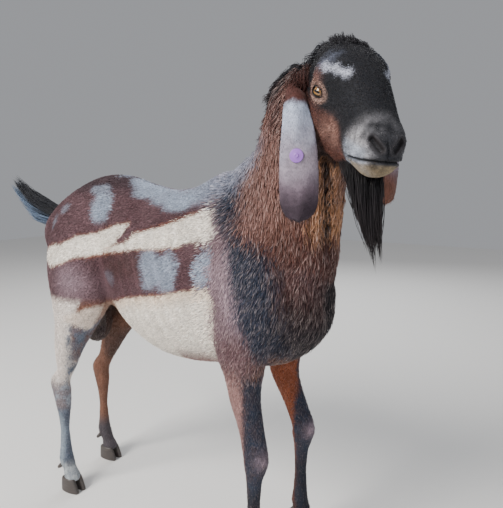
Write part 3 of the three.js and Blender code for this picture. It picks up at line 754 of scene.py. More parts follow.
DAPPLES_AND_SHEEN = (
    (-0.180, 0.886, 0.036, 0.040, 0.9), (-0.095, 0.955, 0.030, 0.016, 0.8),
    (-0.050, 0.935, 0.040, 0.022, 0.9), (0.010, 0.921, 0.046, 0.022, 0.85),
    (0.087, 0.907, 0.060, 0.026, 0.9), (0.150, 0.935, 0.050, 0.030, 0.75),
    (0.038, 0.746, 0.032, 0.050, 0.85), (0.092, 0.742, 0.030, 0.050, 0.85),
    (0.187, 0.762, 0.024, 0.044, 0.85), (0.178, 0.735, 0.014, 0.030, 0.6),
    (-0.120, 0.700, 0.030, 0.020, 0.2), (-0.200, 0.935, 0.024, 0.012, 0.55),
    (-0.150, 0.972, 0.030, 0.008, 0.5), (-0.330, 0.880, 0.022, 0.014, 0.4),
    (-0.360, 0.840, 0.014, 0.020, 0.35),
)


def blend(colours, other, amount):
    return colours + (np.array(other) - colours) * np.clip(amount, 0, 1)[:, None]


def layered(made, *layers):
    """Colours laid one over another, each with how much of it covers."""
    for colour, amount in layers:
        made = blend(made, colour, amount)
    return made


def band(x, z, rows, soft):
    """1 inside a band given by its edges, 0 outside, and how far inside."""
    at, upper, lower = np.array(rows).T
    inside = np.minimum(np.interp(x, at, upper) - z, z - np.interp(x, at, lower))
    inside = np.minimum(inside, np.minimum(x - at[0], at[-1] - x) * 1.5)
    return step(inside, -soft, soft), inside


def trunk_colours(x, y, z, near, wide, fine):
    """Mauve-brown with dark back, dapples partly of painted sheen, cream bands of painted sunlight, dusky
    shoulder and black breast.
    """
    # The far side has the same bands a little further back, so the two sides differ
    sx = x + 0.035 * (1 - near) + 0.013 * wide + 0.004 * fine
    sz = z + 0.012 * (1 - near) + 0.008 * wide + 0.005 * fine
    between = step(sz, 0.70, 0.74) * step(sz, 0.80, 0.77)
    made = layered(
        np.zeros((len(x), 3)) + MAUVE,
        (CHESTNUT, 0.60 + 0.8 * wide),
        ((0.030, 0.020, 0.026), 0.75 * step(z, 0.905, 0.955) * step(x, 0.0, -0.10)),
        (DUSK, 0.80 * bell(np.hypot(sx + 0.262, (sz - 0.684) / 0.95), 0.058)),
        ((0.055, 0.022, 0.018), 0.5 * bell(sx + 0.06, 0.10) * between),
    )
    # Pale dapples, partly roan hair and partly painted sky sheen
    for at_x, at_z, half_x, half_z, strength in DAPPLES_AND_SHEEN:
        ahead = (sx - at_x + 0.012 * wide) / half_x
        above = (sz - at_z - 0.014 * wide) / half_z
        reach = np.hypot(ahead, above) + 0.25 * fine
        made = blend(made, ROAN_AND_SHEEN_PALE, strength * step(reach, 1.30, 0.70))
    behind = 1 - 0.85 * step(sx, 0.15, 0.19)
    for name, rows in SUNLIGHT_BANDS.items():
        on_belly = name == "belly"
        amount, inside = band(sx, sz, rows, 0.0045)
        made = layered(
            made,
            # Painted orange and tan light along the band's edge, where the sunlight fades
            (SUN_EDGE_ORANGE, (0.26 + 0.5 * wide) * step(inside, -0.011, -0.002) * behind),
            (SUN_EDGE_TAN, 0.40 * step(inside, -0.005, 0.0) * behind),
            # Cream painted sunlight inside the band
            ((0.78, 0.66, 0.54) if on_belly else PAINTED_SUNLIGHT, amount),
            (PAINTED_SUNLIGHT, amount * step(inside, 0.004, 0.022 + 0.02 * on_belly)),
        )
    ahead = sx - np.interp(sz, *SHOULDER_EDGE)
    shoulder = step(sx, 0.196, 0.212) * step(z, 0.44, 0.50)
    breast = step(ahead, 0.040, 0.078)
    middle = step(y - MIDDLE, -0.050, -0.005)
    return layered(
        made,
        # The belly turns tan towards the middle line, painted light where the sunlit band fades, and
        # brown at its rear end
        ((0.55, 0.30, 0.16), 0.8 * step(z, 0.516, 0.490) * step(x, -0.22, -0.16) * step(x, 0.20, 0.12)),
        ((0.16, 0.06, 0.035), 0.8 * step(sx, -0.20, -0.25) * step(z, 0.60, 0.56) * step(z, 0.48, 0.52)),
        # Dusky shoulder, the blue-black band before it, and the breast, brown above and black below
        (DUSK, shoulder * (0.75 + 0.8 * wide) * step(ahead, 0.02, -0.02)),
        ((0.13, 0.066, 0.070), shoulder * step(z, 0.66, 0.58) * 0.75),
        (SLATE, shoulder * step(ahead, -0.034, -0.006) * (1.0 + 0.4 * fine)),
        ((0.100, 0.044, 0.038), breast * step(z, 0.585, 0.68) * (0.85 + 0.6 * wide)),
        ((0.030, 0.019, 0.019), breast * step(z, 0.64, 0.56) * (0.75 + 0.9 * wide)),
        (INK, step(sx, 0.35, 0.41) * step(z, 0.76, 0.66) * 0.7),
        (INK, (1 - near) * step(sx, 0.23, 0.30) * 0.8 * step(z, 0.90, 0.80)),
        (INK, middle * step(sx, 0.32, 0.37) * step(z, 0.86, 0.78) * 0.7),
        ((0.55, 0.25, 0.12), bell(np.hypot(x - 0.345, (z - 0.515) / 0.8), 0.034) * 0.85),
    )


def leg_colours(made, p, fine):
    """Forelegs slate before and mauve behind, with painted rim light down the near one's back, the far
    one rust inside; the near hind leg white above and slate below, painted as lit by the sun, with
    painted shade along its front; the far one rust-brown."""
    x, y, z = p.T
    right = y < MIDDLE
    ahead = x - np.where(right, 0.3065, 0.3325)
    lower = step(z, 0.56, 0.48) * ((x > 0.08) & (z < 0.58))
    behind = step(ahead, -0.014, -0.028) * step(z, 0.20, 0.30)
    inner = ~right & (y < 0.165)
    knee = bell(np.hypot((ahead - 0.03) / 0.8, z - 0.315), 0.024)
    hind = (x < -0.14) & (z < 0.66)
    near, far = hind & right, hind & ~right
    edge = x - np.interp(z, *THIGH_SUN_EDGE)
    cover = step(z, 0.645, 0.615) * near
    shaded = step(edge + 0.012 * fine, -0.022, -0.006) * step(z, 0.60, 0.54)
    speckle = step(fine, -0.05, 0.3)
    belly, _ = band(x + 0.006 * fine, z, SUNLIGHT_BANDS["belly"], 0.006)
    between = step(np.abs(y - MIDDLE), 0.064, 0.048) * (x < -0.2)
    return layered(
        made,
        # Forelegs
        ((0.085, 0.048, 0.052), lower),
        # Painted rim light: pinkish tan down the back of the near foreleg
        ((0.42, 0.24, 0.22), lower * right * behind * 0.8),
        ((0.25, 0.070, 0.030), lower * inner * step(ahead, 0.000, -0.014) * 0.95),
        (SLATE, lower * step(ahead, -0.022, -0.006) * (0.92 + 0.6 * fine)),
        (INK, lower * step(z, 0.26, 0.20) * 0.65),
        ((0.34, 0.25, 0.29), lower * knee * (0.55 + 0.5 * fine)),
        # Near hind leg, painted as lit by the sun: white over the thigh's brown coat, pale blue-grey over
        # the black hair of hock, cannon and foot, and painted shade in blue-grey along the thigh's front
        ((0.20, 0.085, 0.05), cover * 0.8),
        ((0.74, 0.67, 0.62), cover * step(edge, 0.010, -0.008) * step(z, 0.32, 0.37)),
        # Painted shade: blue-grey along the thigh's front, turned away from the sun
        ((0.11, 0.135, 0.18), near * shaded * (0.7 + 0.9 * fine)),
        ((0.30, 0.33, 0.38), near * step(z, 0.37, 0.33) * (0.5 + 0.5 * speckle)),
        ((0.060, 0.080, 0.120), near * step(z, 0.285, 0.25) * 0.88),
        ((0.30, 0.36, 0.42), near * step(z, 0.27, 0.23) * step(x, -0.378, -0.392) * 0.7),
        ((0.42, 0.45, 0.47), near * step(z, 0.105, 0.08) * (0.6 + 0.4 * speckle)),
        # Far hind leg
        ((0.185, 0.085, 0.052), far * step(z, 0.63, 0.56) * 0.92),
        (INK, far * step(x, -0.405, -0.38) * step(z, 0.55, 0.45) * 0.6),
        ((0.050, 0.055, 0.070), far * step(z, 0.17, 0.11) * 0.85),
        # The belly's painted sunlight ending on the thigh, painted shade between the thighs, the dark
        # fore pasterns
        ((0.70, 0.60, 0.52), belly * near * step(x, -0.312, -0.296) * step(y, -0.025, -0.04) * 0.9),
        ((0.040, 0.022, 0.018), between * step(z, 0.36, 0.42) * step(z, 0.62, 0.58) * 0.9),
        ((0.030, 0.030, 0.036), step(z, 0.075, 0.055) * (x > 0) * 0.7),
    )


def body_colours(p, wide, fine):
    """Trunk, neck, legs and tail; p in metres."""
    x, y, z = p.T
    near = step(y, MIDDLE + 0.02, MIDDLE - 0.02)
    below = np.interp(x, *NAPE_LINE) - z
    on_neck = step(z + 0.6 * x, 0.99, 1.05) * step(x + 0.015 * wide, 0.232, 0.290)
    dusty = on_neck * near * step(below, 0.05, 0.11) * step(below, 0.36, 0.22)
    withers = step(x, 0.13, 0.17) * step(z, 1.10, 1.0) * step(z, 0.85, 0.9)
    deep = 0.030 + 0.050 * step(z, 1.09, 1.16)
    own = p / MM - MARKINGS_FROM
    apart, along = throat_line(own)
    beyond = own[:, 1] - np.interp(z, [0.80, 1.0, 1.1, 1.2], [0, -50, -80, -100])
    throat = step(apart, 50, 28) * step(along, -0.45, -0.1) * step(along, 1.5, 1.0) * step(z, 0.80, 0.86)
    groove = bell(apart, 8.5) * step(along, -0.2, 0.0) * step(along, 1.6, 1.1)
    made = layered(
        trunk_colours(x, y, z, near, wide, fine),
        # Neck: red-brown sides, blue-grey towards the withers that is partly roan hair and partly painted
        # sky sheen, dark nape, tan throat with painted shade in its groove
        ((0.118, 0.046, 0.034), on_neck * (0.90 + 0.5 * wide)),
        ((0.19, 0.086, 0.064), on_neck * step(wide, 0.0, 0.5) * 0.6),
        ((0.30, 0.165, 0.140), dusty * (0.52 + 0.6 * wide)),
        (ROAN_AND_SKY_SHEEN, 0.85 * step(below, 0.125, 0.05) * withers),
        (INK, on_neck * step(below - deep, 0.026, -0.020) * step(z, 1.0, 1.06) * 0.88),
        (INK, on_neck * step(beyond, 8, 48) * step(z, 1.12, 0.98) * 0.88),
        ((0.42, 0.205, 0.095), throat * (0.82 + 0.6 * wide)),
        # Painted shade in the throat's groove
        ((0.020, 0.011, 0.010), 1.25 * groove),
    )
    on_tail = step(x, -0.475, -0.5) * step(z, 0.80, 0.84)
    under = np.interp(x, [-0.67, -0.44], [1.0, 0.845]) - z
    return layered(
        leg_colours(made, p, fine),
        (INK, on_tail),
        ((0.055, 0.085, 0.14), on_tail * step(under, 0.0, 0.03) * 0.9),
    )


def head_colours(h, wide, fine):
    """The head; h in millimetres in the head's frame."""
    x, y, z = h.T
    off_middle = np.abs(y)
    pit = nostril_distance(h)
    lip = z - mouth_level(x)
    cheek = step(z + 0.20 * (x - 100), -66, -88) * step(x, 205, 170)
    cheek_bone = bell(np.hypot((x - 138) / 1.8, z + 112 - 0.10 * (x - 140)), 19)
    beyond = np.maximum(np.abs(x - 140 - 8 * wide) - 26, 0) / 11
    across = (z + 8.5 + 0.05 * (x - 114) + 4 * wide) / 6.2
    stripe = step(np.hypot(beyond, across) + 1.2 * fine, 1.60, 0.05) * step(off_middle, 18, 28)
    brow = bell(np.hypot(x - 108, z - 2), 15) * step(off_middle, 20, 34)
    edge = x - (200 + 0.86 * (z + 125) + 7 * wide + 9 * fine)
    muzzle = step(edge, -16, 26) * step(z, -134, -122) * (0.55 + 0.8 * fine)
    blue = step(edge, -4, 16) * step(z, -96, -112) * step(x, 302, 284)
    made = layered(
        np.zeros((len(h), 3)) + np.array(INK) * 0.85,
        # Brown cheek and jaw; a pale tan cheek bone, partly tan hair and partly painted highlight; black at
        # the jaw's rear, partly black hair and partly painted shadow of the ear
        ((0.135, 0.050, 0.036), cheek * (0.85 + 0.4 * wide)),
        # Pale tan on the cheek bone: partly tan hair, partly painted highlight
        ((0.40, 0.22, 0.17), cheek_bone * (0.60 + 0.95 * fine)),
        # Black at the jaw's rear under the ear: partly black hair, partly painted shadow of the ear
        ((0.014, 0.009, 0.009), step(x + 0.25 * (z + 110), 88, 62) * step(z, -66, -90) * 0.9),
        # Pale stripe over each eye
        ((0.17, 0.19, 0.26), brow * (0.55 + 0.7 * fine)),
        ((0.46, 0.48, 0.57), stripe * 0.92),
        ((0.20, 0.10, 0.085), bell(np.hypot(x - 104, z + 26), 13) * 0.8),
        # Pale muzzle with a black nose, bridge, nostrils and mouth, painted shade over the far side of the
        # muzzle, and a tan chin
        ((0.34, 0.33, 0.35), muzzle * (0.45 + 0.55 * step(z, -72, -100))),
        ((0.36, 0.40, 0.48), blue * (0.62 + 0.5 * fine)),
        (INK, step(x + 0.3 * (z + 90), 289, 302) * 0.88),
        (INK, bell(y - 3, 11) * step(x, 250, 292) * 0.72),
        # Painted shade: the far side of the muzzle darkened to black
        (INK, step(y, 4, 20) * step(x, 190, 230) * 0.72),
        ((0.030, 0.027, 0.030), step(pit, 11, 6.5) * 0.75),
        ((0.014, 0.013, 0.015), bell(lip, 3.0) * step(x, 200, 216) * 0.95),
        ((0.012, 0.010, 0.011), step(pit, 6.0, 3.5)),
        ((0.27, 0.205, 0.12), step(x, 205, 235) * step(lip, -3, -10) * (0.7 + 0.5 * fine)),
    )
    # The rims of the lids and the corner before the eye are bare and dark, ringed with tan
    for side in (-1, 1):
        u, w, out = eye_places(h, side).T
        outside = out > -16
        reach = np.hypot(u / 1.6, w - 0.5)
        around = step(np.hypot((u + 4) / 1.3, w + 1), 25, 15)
        made = layered(
            made,
            ((0.135, 0.055, 0.038), around * outside * (0.85 + 0.5 * wide)),
            ((0.43, 0.28, 0.23), bell(reach - 14.2, 3.4) * outside * (0.80 + 0.6 * fine)),
            (LID, step(reach, 11.4, 9.2) * outside),
            (LID, bell(np.hypot((u - 18) / 2.2, w + 2.0), 2.4) * outside * 0.9),
        )
    return made


def marking(points):
    """Coat colours for points in millimetres on the animal's own axes."""
    metres = (points + MARKINGS_FROM) * MM
    wide = layered_noise(metres, 0.075, 3)
    fine = layered_noise(metres, 0.013, 9)
    in_head = head_places(points)
    on_head_part = head_share(points)
    body, head = body_colours(metres, wide, fine), head_colours(in_head, wide, fine)
    made = body + (head - body) * on_head_part[:, None]
    return np.clip(made * (1 + 0.16 * fine + 0.10 * wide)[:, None], 0.004, 0.9)


def paint(mesh, colours):
    """Stores a colour for each point."""
    layer = mesh.color_attributes.new("Coat", "FLOAT_COLOR", "POINT")
    data = np.ones((len(mesh.vertices), 4), np.float32)
    data[:, :3] = colours
    layer.data.foreach_set("color", data.ravel())


def node(nodes, kind, **values):
    """A shader node with its inputs set by name."""
    made = nodes.new(kind)
    for key, value in values.items():
        made.inputs[key.replace("_", " ")].default_value = value
    return made


def wire(links, *runs):
    """Joins an output to an input, for each (node, output, node, input)."""
    for source, output, target, entry in runs:
        links.new(source.outputs[output], target.inputs[entry])


def painted(nodes):
    """The colours stored on the mesh."""
    made = nodes.new("ShaderNodeVertexColor")
    made.layer_name = "Coat"
    return made


def toned(nodes, links, shader, noise, strength, **tones):
    """Makes the stored colours the shader's, darker and lighter by a noise."""
    tone = node(nodes, "ShaderNodeMapRange", **tones)
    mixed = nodes.new("ShaderNodeMix")
    mixed.data_type = "RGBA"
    mixed.blend_type = "MULTIPLY"
    mixed.inputs["Factor"].default_value = strength
    wire(
        links,
        (noise, "Fac", tone, "Value"),
        (painted(nodes), "Color", mixed, "A"),
        (tone, "Result", mixed, "B"),
        (mixed, "Result", shader, "Base Color"),
    )


paint(skin.data, marking(points))
hide, nodes, links, shader = plain_material("goat_hide", (0.2, 0.12, 0.1), 0.72)
shader.inputs["Specular IOR Level"].default_value = 0.22
shader.inputs["Sheen Weight"].default_value = 0.05
# Short hair: fine strokes drawn out along the body, darkening and lifting the surface
place = nodes.new("ShaderNodeTexCoord")
stretch = node(nodes, "ShaderNodeMapping", Scale=(55, 330, 170))
strokes = node(nodes, "ShaderNodeTexNoise", Scale=1.0, Detail=3.0, Roughness=0.6)
pores = node(nodes, "ShaderNodeTexNoise", Scale=900.0, Detail=2.0)
lift = node(nodes, "ShaderNodeBump", Strength=0.35, Distance=0.0012)
grain = node(nodes, "ShaderNodeBump", Strength=0.25, Distance=0.0004)
toned(nodes, links, shader, strokes, 0.55, From_Min=0.3, From_Max=0.7, To_Min=0.55, To_Max=1.25)
wire(
    links,
    (place, "Object", stretch, "Vector"),
    (stretch, "Vector", strokes, "Vector"),
    (place, "Object", pores, "Vector"),
    (strokes, "Fac", lift, "Height"),
    (pores, "Fac", grain, "Height"),
    (lift, "Normal", grain, "Normal"),
    (grain, "Normal", shader, "Normal"),
)
skin.data.materials.append(hide)
flesh = ["torso", "neck", "head", "jaw", "tail"]
flesh += [leg + part for leg in FEET for part in ("_upper", "_lower")]
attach(skin, "root")
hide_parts(*flesh)

# Eyes
# Wet balls with an amber iris and a level slot for a pupil, set deep behind thick lids.
SIDES = ((-1, "r"), (1, "l"))
for side, letter in SIDES:
    low, high = (np.array(v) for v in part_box("eye_" + letter))
    bpy.ops.mesh.primitive_uv_sphere_add(segments=64, ring_count=40, radius=EYE_RADIUS * MM)
    ball = bpy.context.object
    ball.name = "eyeball_" + letter
    outward = HEAD_AXES @ EYE_OUT[side]
    lengthwise = HEAD_AXES @ EYE_ALONG[side]
    level = unit(lengthwise - outward * (outward @ lengthwise))
    above = np.cross(outward, level)
    spots = np.empty(len(ball.data.vertices) * 3)
    ball.data.vertices.foreach_get("co", spots)
    spots = spots.reshape(-1, 3)
    # The cornea stands a little proud
    polar = spots[:, 2] / (EYE_RADIUS * MM)
    spots = spots * (1 + 0.035 * step(polar, 0.72, 0.95))[:, None]
    iris = np.hypot(spots[:, 0], spots[:, 1]) / MM
    about = np.arctan2(spots[:, 1], spots[:, 0])
    ray = lattice_noise(np.stack([about * 9, iris * 0.3, np.zeros(len(spots))], 1), 1.0, 5)
    amber = (np.zeros((len(spots), 3)) + (0.33, 0.165, 0.045)) * (1 + 0.25 * ray)[:, None]
    pupil = np.maximum(np.abs(spots[:, 0] / MM) / 6.4, np.abs(spots[:, 1] / MM) / 2.0)
    paints = layered(
        amber,
        ((0.05, 0.025, 0.012), step(iris, 8.6, 10.2)),
        ((0.20, 0.14, 0.11), step(iris, 11.0, 12.4) + (spots[:, 2] < 0)),
        ((0.004, 0.004, 0.006), step(pupil, 1.12, 0.92) * (spots[:, 2] > 0)),
    )
    paint(ball.data, paints)
    turned = spots @ np.stack([level, above, outward])
    ball.data.vertices.foreach_set("co", (turned + (low + high) / 2).ravel())
    ball.data.update()
    ball.data.shade_smooth()
    wet, nodes, links, shader = plain_material("eye_surface_" + letter, (0.3, 0.15, 0.05), 0.12)
    shader.inputs["Coat Weight"].default_value = 1.0
    shader.inputs["Coat Roughness"].default_value = 0.02
    fibre = node(nodes, "ShaderNodeTexNoise", Scale=700.0, Detail=3.0)
    rough = node(nodes, "ShaderNodeMapRange", To_Min=0.08, To_Max=0.18)
    wire(
        links,
        (nodes.new("ShaderNodeTexCoord"), "Object", fibre, "Vector"),
        (fibre, "Fac", rough, "Value"),
        (rough, "Result", shader, "Roughness"),
        (painted(nodes), "Color", shader, "Base Color"),
    )
    ball.data.materials.append(wet)
    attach(ball, "root")
    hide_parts("eye_" + letter)

# Ears
# Long thin flaps that hang beside the cheek, cupped at the root, with a thickened edge.
EAR_WIDTH = 70
EAR_THICKNESS = 5
EAR_ROWS, EAR_COLUMNS = 90, 34
FAR_EAR_SHARE = 0.86
EAR_ROOT_AT = (16, 74, -58)
EAR_COURSE = {
    -1: ((437, -206, 1104), (447, -214, 1050), (450, -214, 975), (446, -203, 881)),
    1: ((551, -40, 1104), (563, -36, 1045), (567, -40, 980), (562, -50, 912)),
}
EAR_FACE = {-1: unit(np.array([0.35, -0.93, 0])), 1: unit(np.array([0.86, -0.5, 0]))}
EAR_WIDTHS = np.array([[0.3, 0.42, 0.50, 0.56, 0.62, 0.73, 0.87, 0.98, 1.04, 1.04, 0.98]]).T
EAR_CURLS = np.array([[2.0, 1.7, 1.15, 0.85, 0.7, 0.6, 0.55, 0.5, 0.45, 0.4, 0.3]]).T
TAG_AT = np.array([447.0, -215, 1004])


def ear_root(side):
    x, y, z = EAR_ROOT_AT
    return on_head((x, side * y, z))


def ear_grid(side, rows, columns, lift):
    """Points of the ear's outer or inner face, rows from root to tip."""
    keys = [on_head((24, side * 44, -60)), ear_root(side), *map(np.array, EAR_COURSE[side])]
    # One more key beyond each end carries the curve's direction on
    ends = [2 * keys[0] - keys[1], *keys, 2 * keys[-1] - keys[-2]]
    t = np.linspace(0, 1, rows)
    centre = smooth(ends, (1 + t * (len(keys) - 1)) / (len(ends) - 1))
    along = unit(np.gradient(centre, axis=0))
    edge = unit(np.cross(EAR_FACE[side], along))
    front = np.cross(along, edge)
    rounding = np.sqrt(np.clip(1 - (np.clip((t - 0.915) / 0.085, 0, 1) ** 2.2)[:, None], 0.01, 1))
    share = 1 if side < 0 else FAR_EAR_SHARE
    half = smooth(EAR_WIDTHS, t) * EAR_WIDTH / 2 * rounding * share
    curl = smooth(EAR_CURLS, t)
    s = np.linspace(1, -1, columns)[None, :]
    rim = np.sqrt(np.clip(1 - s**6, 0, 1))
    thick = lift * (0.35 + 0.65 * rim) * step(t, 1.02, 0.95)[:, None]
    radius = half / np.sin(np.minimum(curl, 1.45)) + thick
    # Ripples fade out under the tag
    away = np.linalg.norm(centre - TAG_AT, axis=1) if side < 0 else np.full(rows, 99)
    clear = step(away, 18, 34)
    ripple = 1.3 * np.sin(s * 5 + t[:, None] * 14) * (step(t, 0.3, 0.6) * clear)[:, None]
    ripple = ripple + 1.6 * np.cos(s * 3.14) * (step(t, 0.2, 0.5) * clear)[:, None]
    points = centre[:, None] + edge[:, None] * (radius * np.sin(curl * s))[..., None]
    return points + front[:, None] * (radius * (np.cos(curl * s) - 1) + thick + ripple)[..., None]


def grid_faces(rows, columns, start=0, flip=False):
    i, j = np.meshgrid(np.arange(rows - 1), np.arange(columns - 1), indexing="ij")
    at = start + i * columns + j
    quads = np.stack([at, at + columns, at + columns + 1, at + 1], -1).reshape(-1, 4)
    return (quads[:, ::-1] if flip else quads).tolist()


def ear_colours(points, t, inner):
    """Pale blue-grey, brown at the root and dark at the tip; t runs from root to tip."""
    fine = layered_noise(points, 9, 4)
    patchy = layered_noise(points, 34, 8)
    far = points[:, 1] > -125
    made = layered(
        np.zeros((len(points), 3)) + (0.29, 0.245, 0.295),
        ((0.40, 0.47, 0.60), step(t + 0.10 * patchy, 0.78, 0.46) * 0.9),
        ((0.13, 0.090, 0.118), step(t + 0.05 * patchy, 0.78, 0.90) * 0.85),
        ((0.030, 0.019, 0.028), step(t + 0.03 * patchy, 0.85, 0.955) * 0.93),
        ((0.17, 0.070, 0.045), far * step(t + 0.04 * patchy, 0.74, 0.90) * 0.9),
        ((0.12, 0.06, 0.05), 0.6 * inner),
        ((0.072, 0.024, 0.019), step(t + 0.06 * patchy + 0.02 * fine, 0.475, 0.390)),
    )
    return made * (1 + 0.24 * fine)[:, None]


for side, letter in SIDES:
    rows, columns = EAR_ROWS, EAR_COLUMNS
    shift = rows * columns
    outer = ear_grid(side, rows, columns, EAR_THICKNESS / 2 - 0.4)
    inner = ear_grid(side, rows, columns, -EAR_THICKNESS / 2 + 0.4)
    all_points = np.concatenate([outer.reshape(-1, 3), inner.reshape(-1, 3)])
    faces = grid_faces(rows, columns) + grid_faces(rows, columns, shift, True)
    rim = [i * columns for i in range(rows)]
    rim += [(rows - 1) * columns + j for j in range(1, columns)]
    rim += [i * columns + columns - 1 for i in range(rows - 2, -1, -1)]
    rim += list(range(columns - 2, 0, -1))
    faces += [[a, b, b + shift, a + shift][::-1] for a, b in zip(rim, rim[1:] + rim[:1])]
    flap = mesh_object("ear_" + letter + "_flap", all_points, faces)
    t = np.tile(np.repeat(np.linspace(0, 1, rows), columns), 2)
    paint(flap.data, ear_colours(all_points, t, np.repeat([0, 1], shift)))
    flap.data.materials.append(hide)
    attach(flap, "root")
    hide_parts("ear_" + letter)

# Ear tag
# A round lilac plastic plate on the ear's outer face, pinned through to a button behind.
TAG_RADIUS = 13
lilac, nodes, links, shader = plain_material("lilac_plastic", (0.33, 0.13, 0.57), 0.42)
scuffs = node(nodes, "ShaderNodeTexNoise", Scale=380.0, Detail=4.0)
worn = nodes.new("ShaderNodeMix")
worn.data_type = "RGBA"
worn.inputs["A"].default_value = (0.29, 0.105, 0.53, 1)
worn.inputs["B"].default_value = (0.40, 0.19, 0.62, 1)
wire(links, (scuffs, "Fac", worn, "Factor"), (worn, "Result", shader, "Base Color"))
# Radius and height from the plate's middle to the button's: a raised dimpled stud, a rounded
# edge, the pin
TAG_PROFILE = (
    (0.0, 4.4), (1.6, 4.5), (2.6, 5.1), (3.6, 5.0), (4.2, 4.0), (5.0, 3.6), (11.6, 3.6), (12.6, 3.3),
    (TAG_RADIUS, 2.6), (12.6, 1.9), (11.6, 1.6), (2.2, 1.6), (2.0, -2.4), (4.4, -2.6), (5.0, -3.4),
    (4.4, -4.4), (0.0, -4.8),
)
TAG_LIFT = 2.2
TAG_SIDES = 48
axis = EAR_FACE[-1]
plate_side = unit(np.cross(axis, UP))
plate_up = np.cross(plate_side, axis)
angles = np.linspace(0, 2 * np.pi, TAG_SIDES, endpoint=False)
ring_way = plate_side * np.cos(angles)[:, None] + plate_up * np.sin(angles)[:, None]
tag_points = np.concatenate([TAG_AT + ring_way * r + axis * (h + TAG_LIFT) for r, h in TAG_PROFILE])
tag_faces = skin_faces(len(TAG_PROFILE), TAG_SIDES)[:-2]
tag = mesh_object("ear_tag_disc", tag_points, tag_faces)
mesh_tools = bmesh.new()
mesh_tools.from_mesh(tag.data)
bmesh.ops.remove_doubles(mesh_tools, verts=mesh_tools.verts, dist=1e-6)
bmesh.ops.recalc_face_normals(mesh_tools, faces=mesh_tools.faces)
mesh_tools.to_mesh(tag.data)
mesh_tools.free()
tag.data.materials.append(lilac)
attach(tag, "root")
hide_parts("ear_tag")

# Hooves and dewclaws
# Two grey-black horn claws to a foot, ringed by growth lines,
# with a pair of blunt dewclaws behind each pastern.
horn, nodes, links, shader = plain_material("hoof_horn", (0.06, 0.055, 0.055), 0.48)
flat = node(nodes, "ShaderNodeMapping", Scale=(30, 30, 420))
growth = node(nodes, "ShaderNodeTexNoise", Scale=1.0, Detail=3.0)
tone = nodes.new("ShaderNodeValToRGB")
tone.color_ramp.elements[0].color = (0.020, 0.018, 0.020, 1)
tone.color_ramp.elements[1].color = (0.095, 0.078, 0.068, 1)
ridges = node(nodes, "ShaderNodeBump", Strength=0.6, Distance=0.0008)
wire(
    links,
    (nodes.new("ShaderNodeTexCoord"), "Object", flat, "Vector"),
    (flat, "Vector", growth, "Vector"),
    (growth, "Fac", tone, "Fac"),
    (growth, "Fac", ridges, "Height"),
    (tone, "Color", shader, "Base Color"),
    (ridges, "Normal", shader, "Normal"),
)
# Height of each ring and how far it lies inside the claw's full outline
CLAW_RINGS = (
    (0, 2.6), (0.8, 0.8), (3, 0), (9, 0), (17, 0.2), (26, 0.6), (34, 1.0), (40, 1.6), (43.5, 3.4),
)
CLAW_SIDES = 40
CLAW_FROM_MIDDLE = 14.8
CLAW_WIDTH = 24
HEEL_REACH = 32
TOE_REACH = 36
DEWCLAW_RINGS = ((0, 6), (0.4, 7.6), (0.7, 7.2), (0.88, 5.8), (0.97, 3.4), (1, 1.0))


def claw_points(foot, ahead, side):
    """A claw's rings from the ground up: pointed toe, straight inner wall, rounded heel."""
    angle = np.linspace(0, 2 * np.pi, CLAW_SIDES, endpoint=False)
    c, n = np.cos(angle), np.sin(angle)
    toe, outer = c > 0, n * side > 0
    narrow = np.where(outer, 1 - 0.42 * np.clip(c, 0, 1) ** 1.6, 1 - 0.12 * np.clip(c, 0, 1))
    made = []
    for z, inset in CLAW_RINGS:
        reach = np.where(toe, TOE_REACH - 0.42 * max(z - 5, 0), HEEL_REACH) - inset
        x = reach * np.sign(c) * np.abs(c) ** np.where(toe, 1.0, 0.75)
        y = (CLAW_WIDTH / 2 - inset) * np.sign(n) * np.abs(n) ** np.where(outer, 0.72, 0.45) * narrow
        y = foot[1] + side * CLAW_FROM_MIDDLE + y
        made.append(np.stack([foot[0] + ahead + x, y, np.full(CLAW_SIDES, z)], 1))
    return np.concatenate(made)


for leg, foot in FEET.items():
    ahead = 16 if leg.startswith("fore") else 14
    for side, word in ((-1, "right"), (1, "left")):
        faces = skin_faces(len(CLAW_RINGS), CLAW_SIDES)
        claw = mesh_object(leg + "_" + word + "_hoof", claw_points(foot, ahead, side), faces)
        claw.data.materials.append(horn)
        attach(claw, "root")
        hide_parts(leg + "_claw_" + word)
        # Each dewclaw is a blunt cone that comes out of the skin behind the fetlock
        low, high = (np.array(v) / MM - AXES_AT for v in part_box(leg + "_dewclaw_" + word))
        middle = (low[1] + high[1]) / 2
        base = np.array([high[0] + 8, middle * 0.45 + foot[1] * 0.55, high[2] + 4])
        point = np.array([low[0] + 1.5, middle, low[2] + 2.5])
        over = unit(np.cross(point - base, LEFT))
        rings = [
            station(base + (point - base) * t, reach * 0.86, reach * 0.86, reach, over)
            for t, reach in DEWCLAW_RINGS
        ]
        spur = mesh_object(leg + "_" + word + "_spur", *form(rings, 30, 28))
        spur.data.materials.append(horn)
        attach(spur, "root")
        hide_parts(leg + "_dewclaw_" + word)

# Coat
# Short glossy hair in overlapping tufts that lie along the body: finest on face and feet,
# longer with pale tips on neck and breast. Each tuft is a small closed spindle.
BAKE_PATCH = 0.003
# How dark the root of a strand is, and how fast it clears towards the tip
LONG_ROOT_SHADE = 0.55
SHORT_ROOT_SHADE = 0.88
ROOT_CLEARS = 2.5
hair, nodes, links, shader = plain_material("goat_hair", (0.2, 0.12, 0.1), 0.52)
shader.inputs["Specular IOR Level"].default_value = 0.25
mottle = node(nodes, "ShaderNodeTexNoise", Scale=260.0, Detail=2.0)
wire(links, (nodes.new("ShaderNodeTexCoord"), "Object", mottle, "Vector"))
toned(nodes, links, shader, mottle, 1.0, To_Min=0.75, To_Max=1.25)


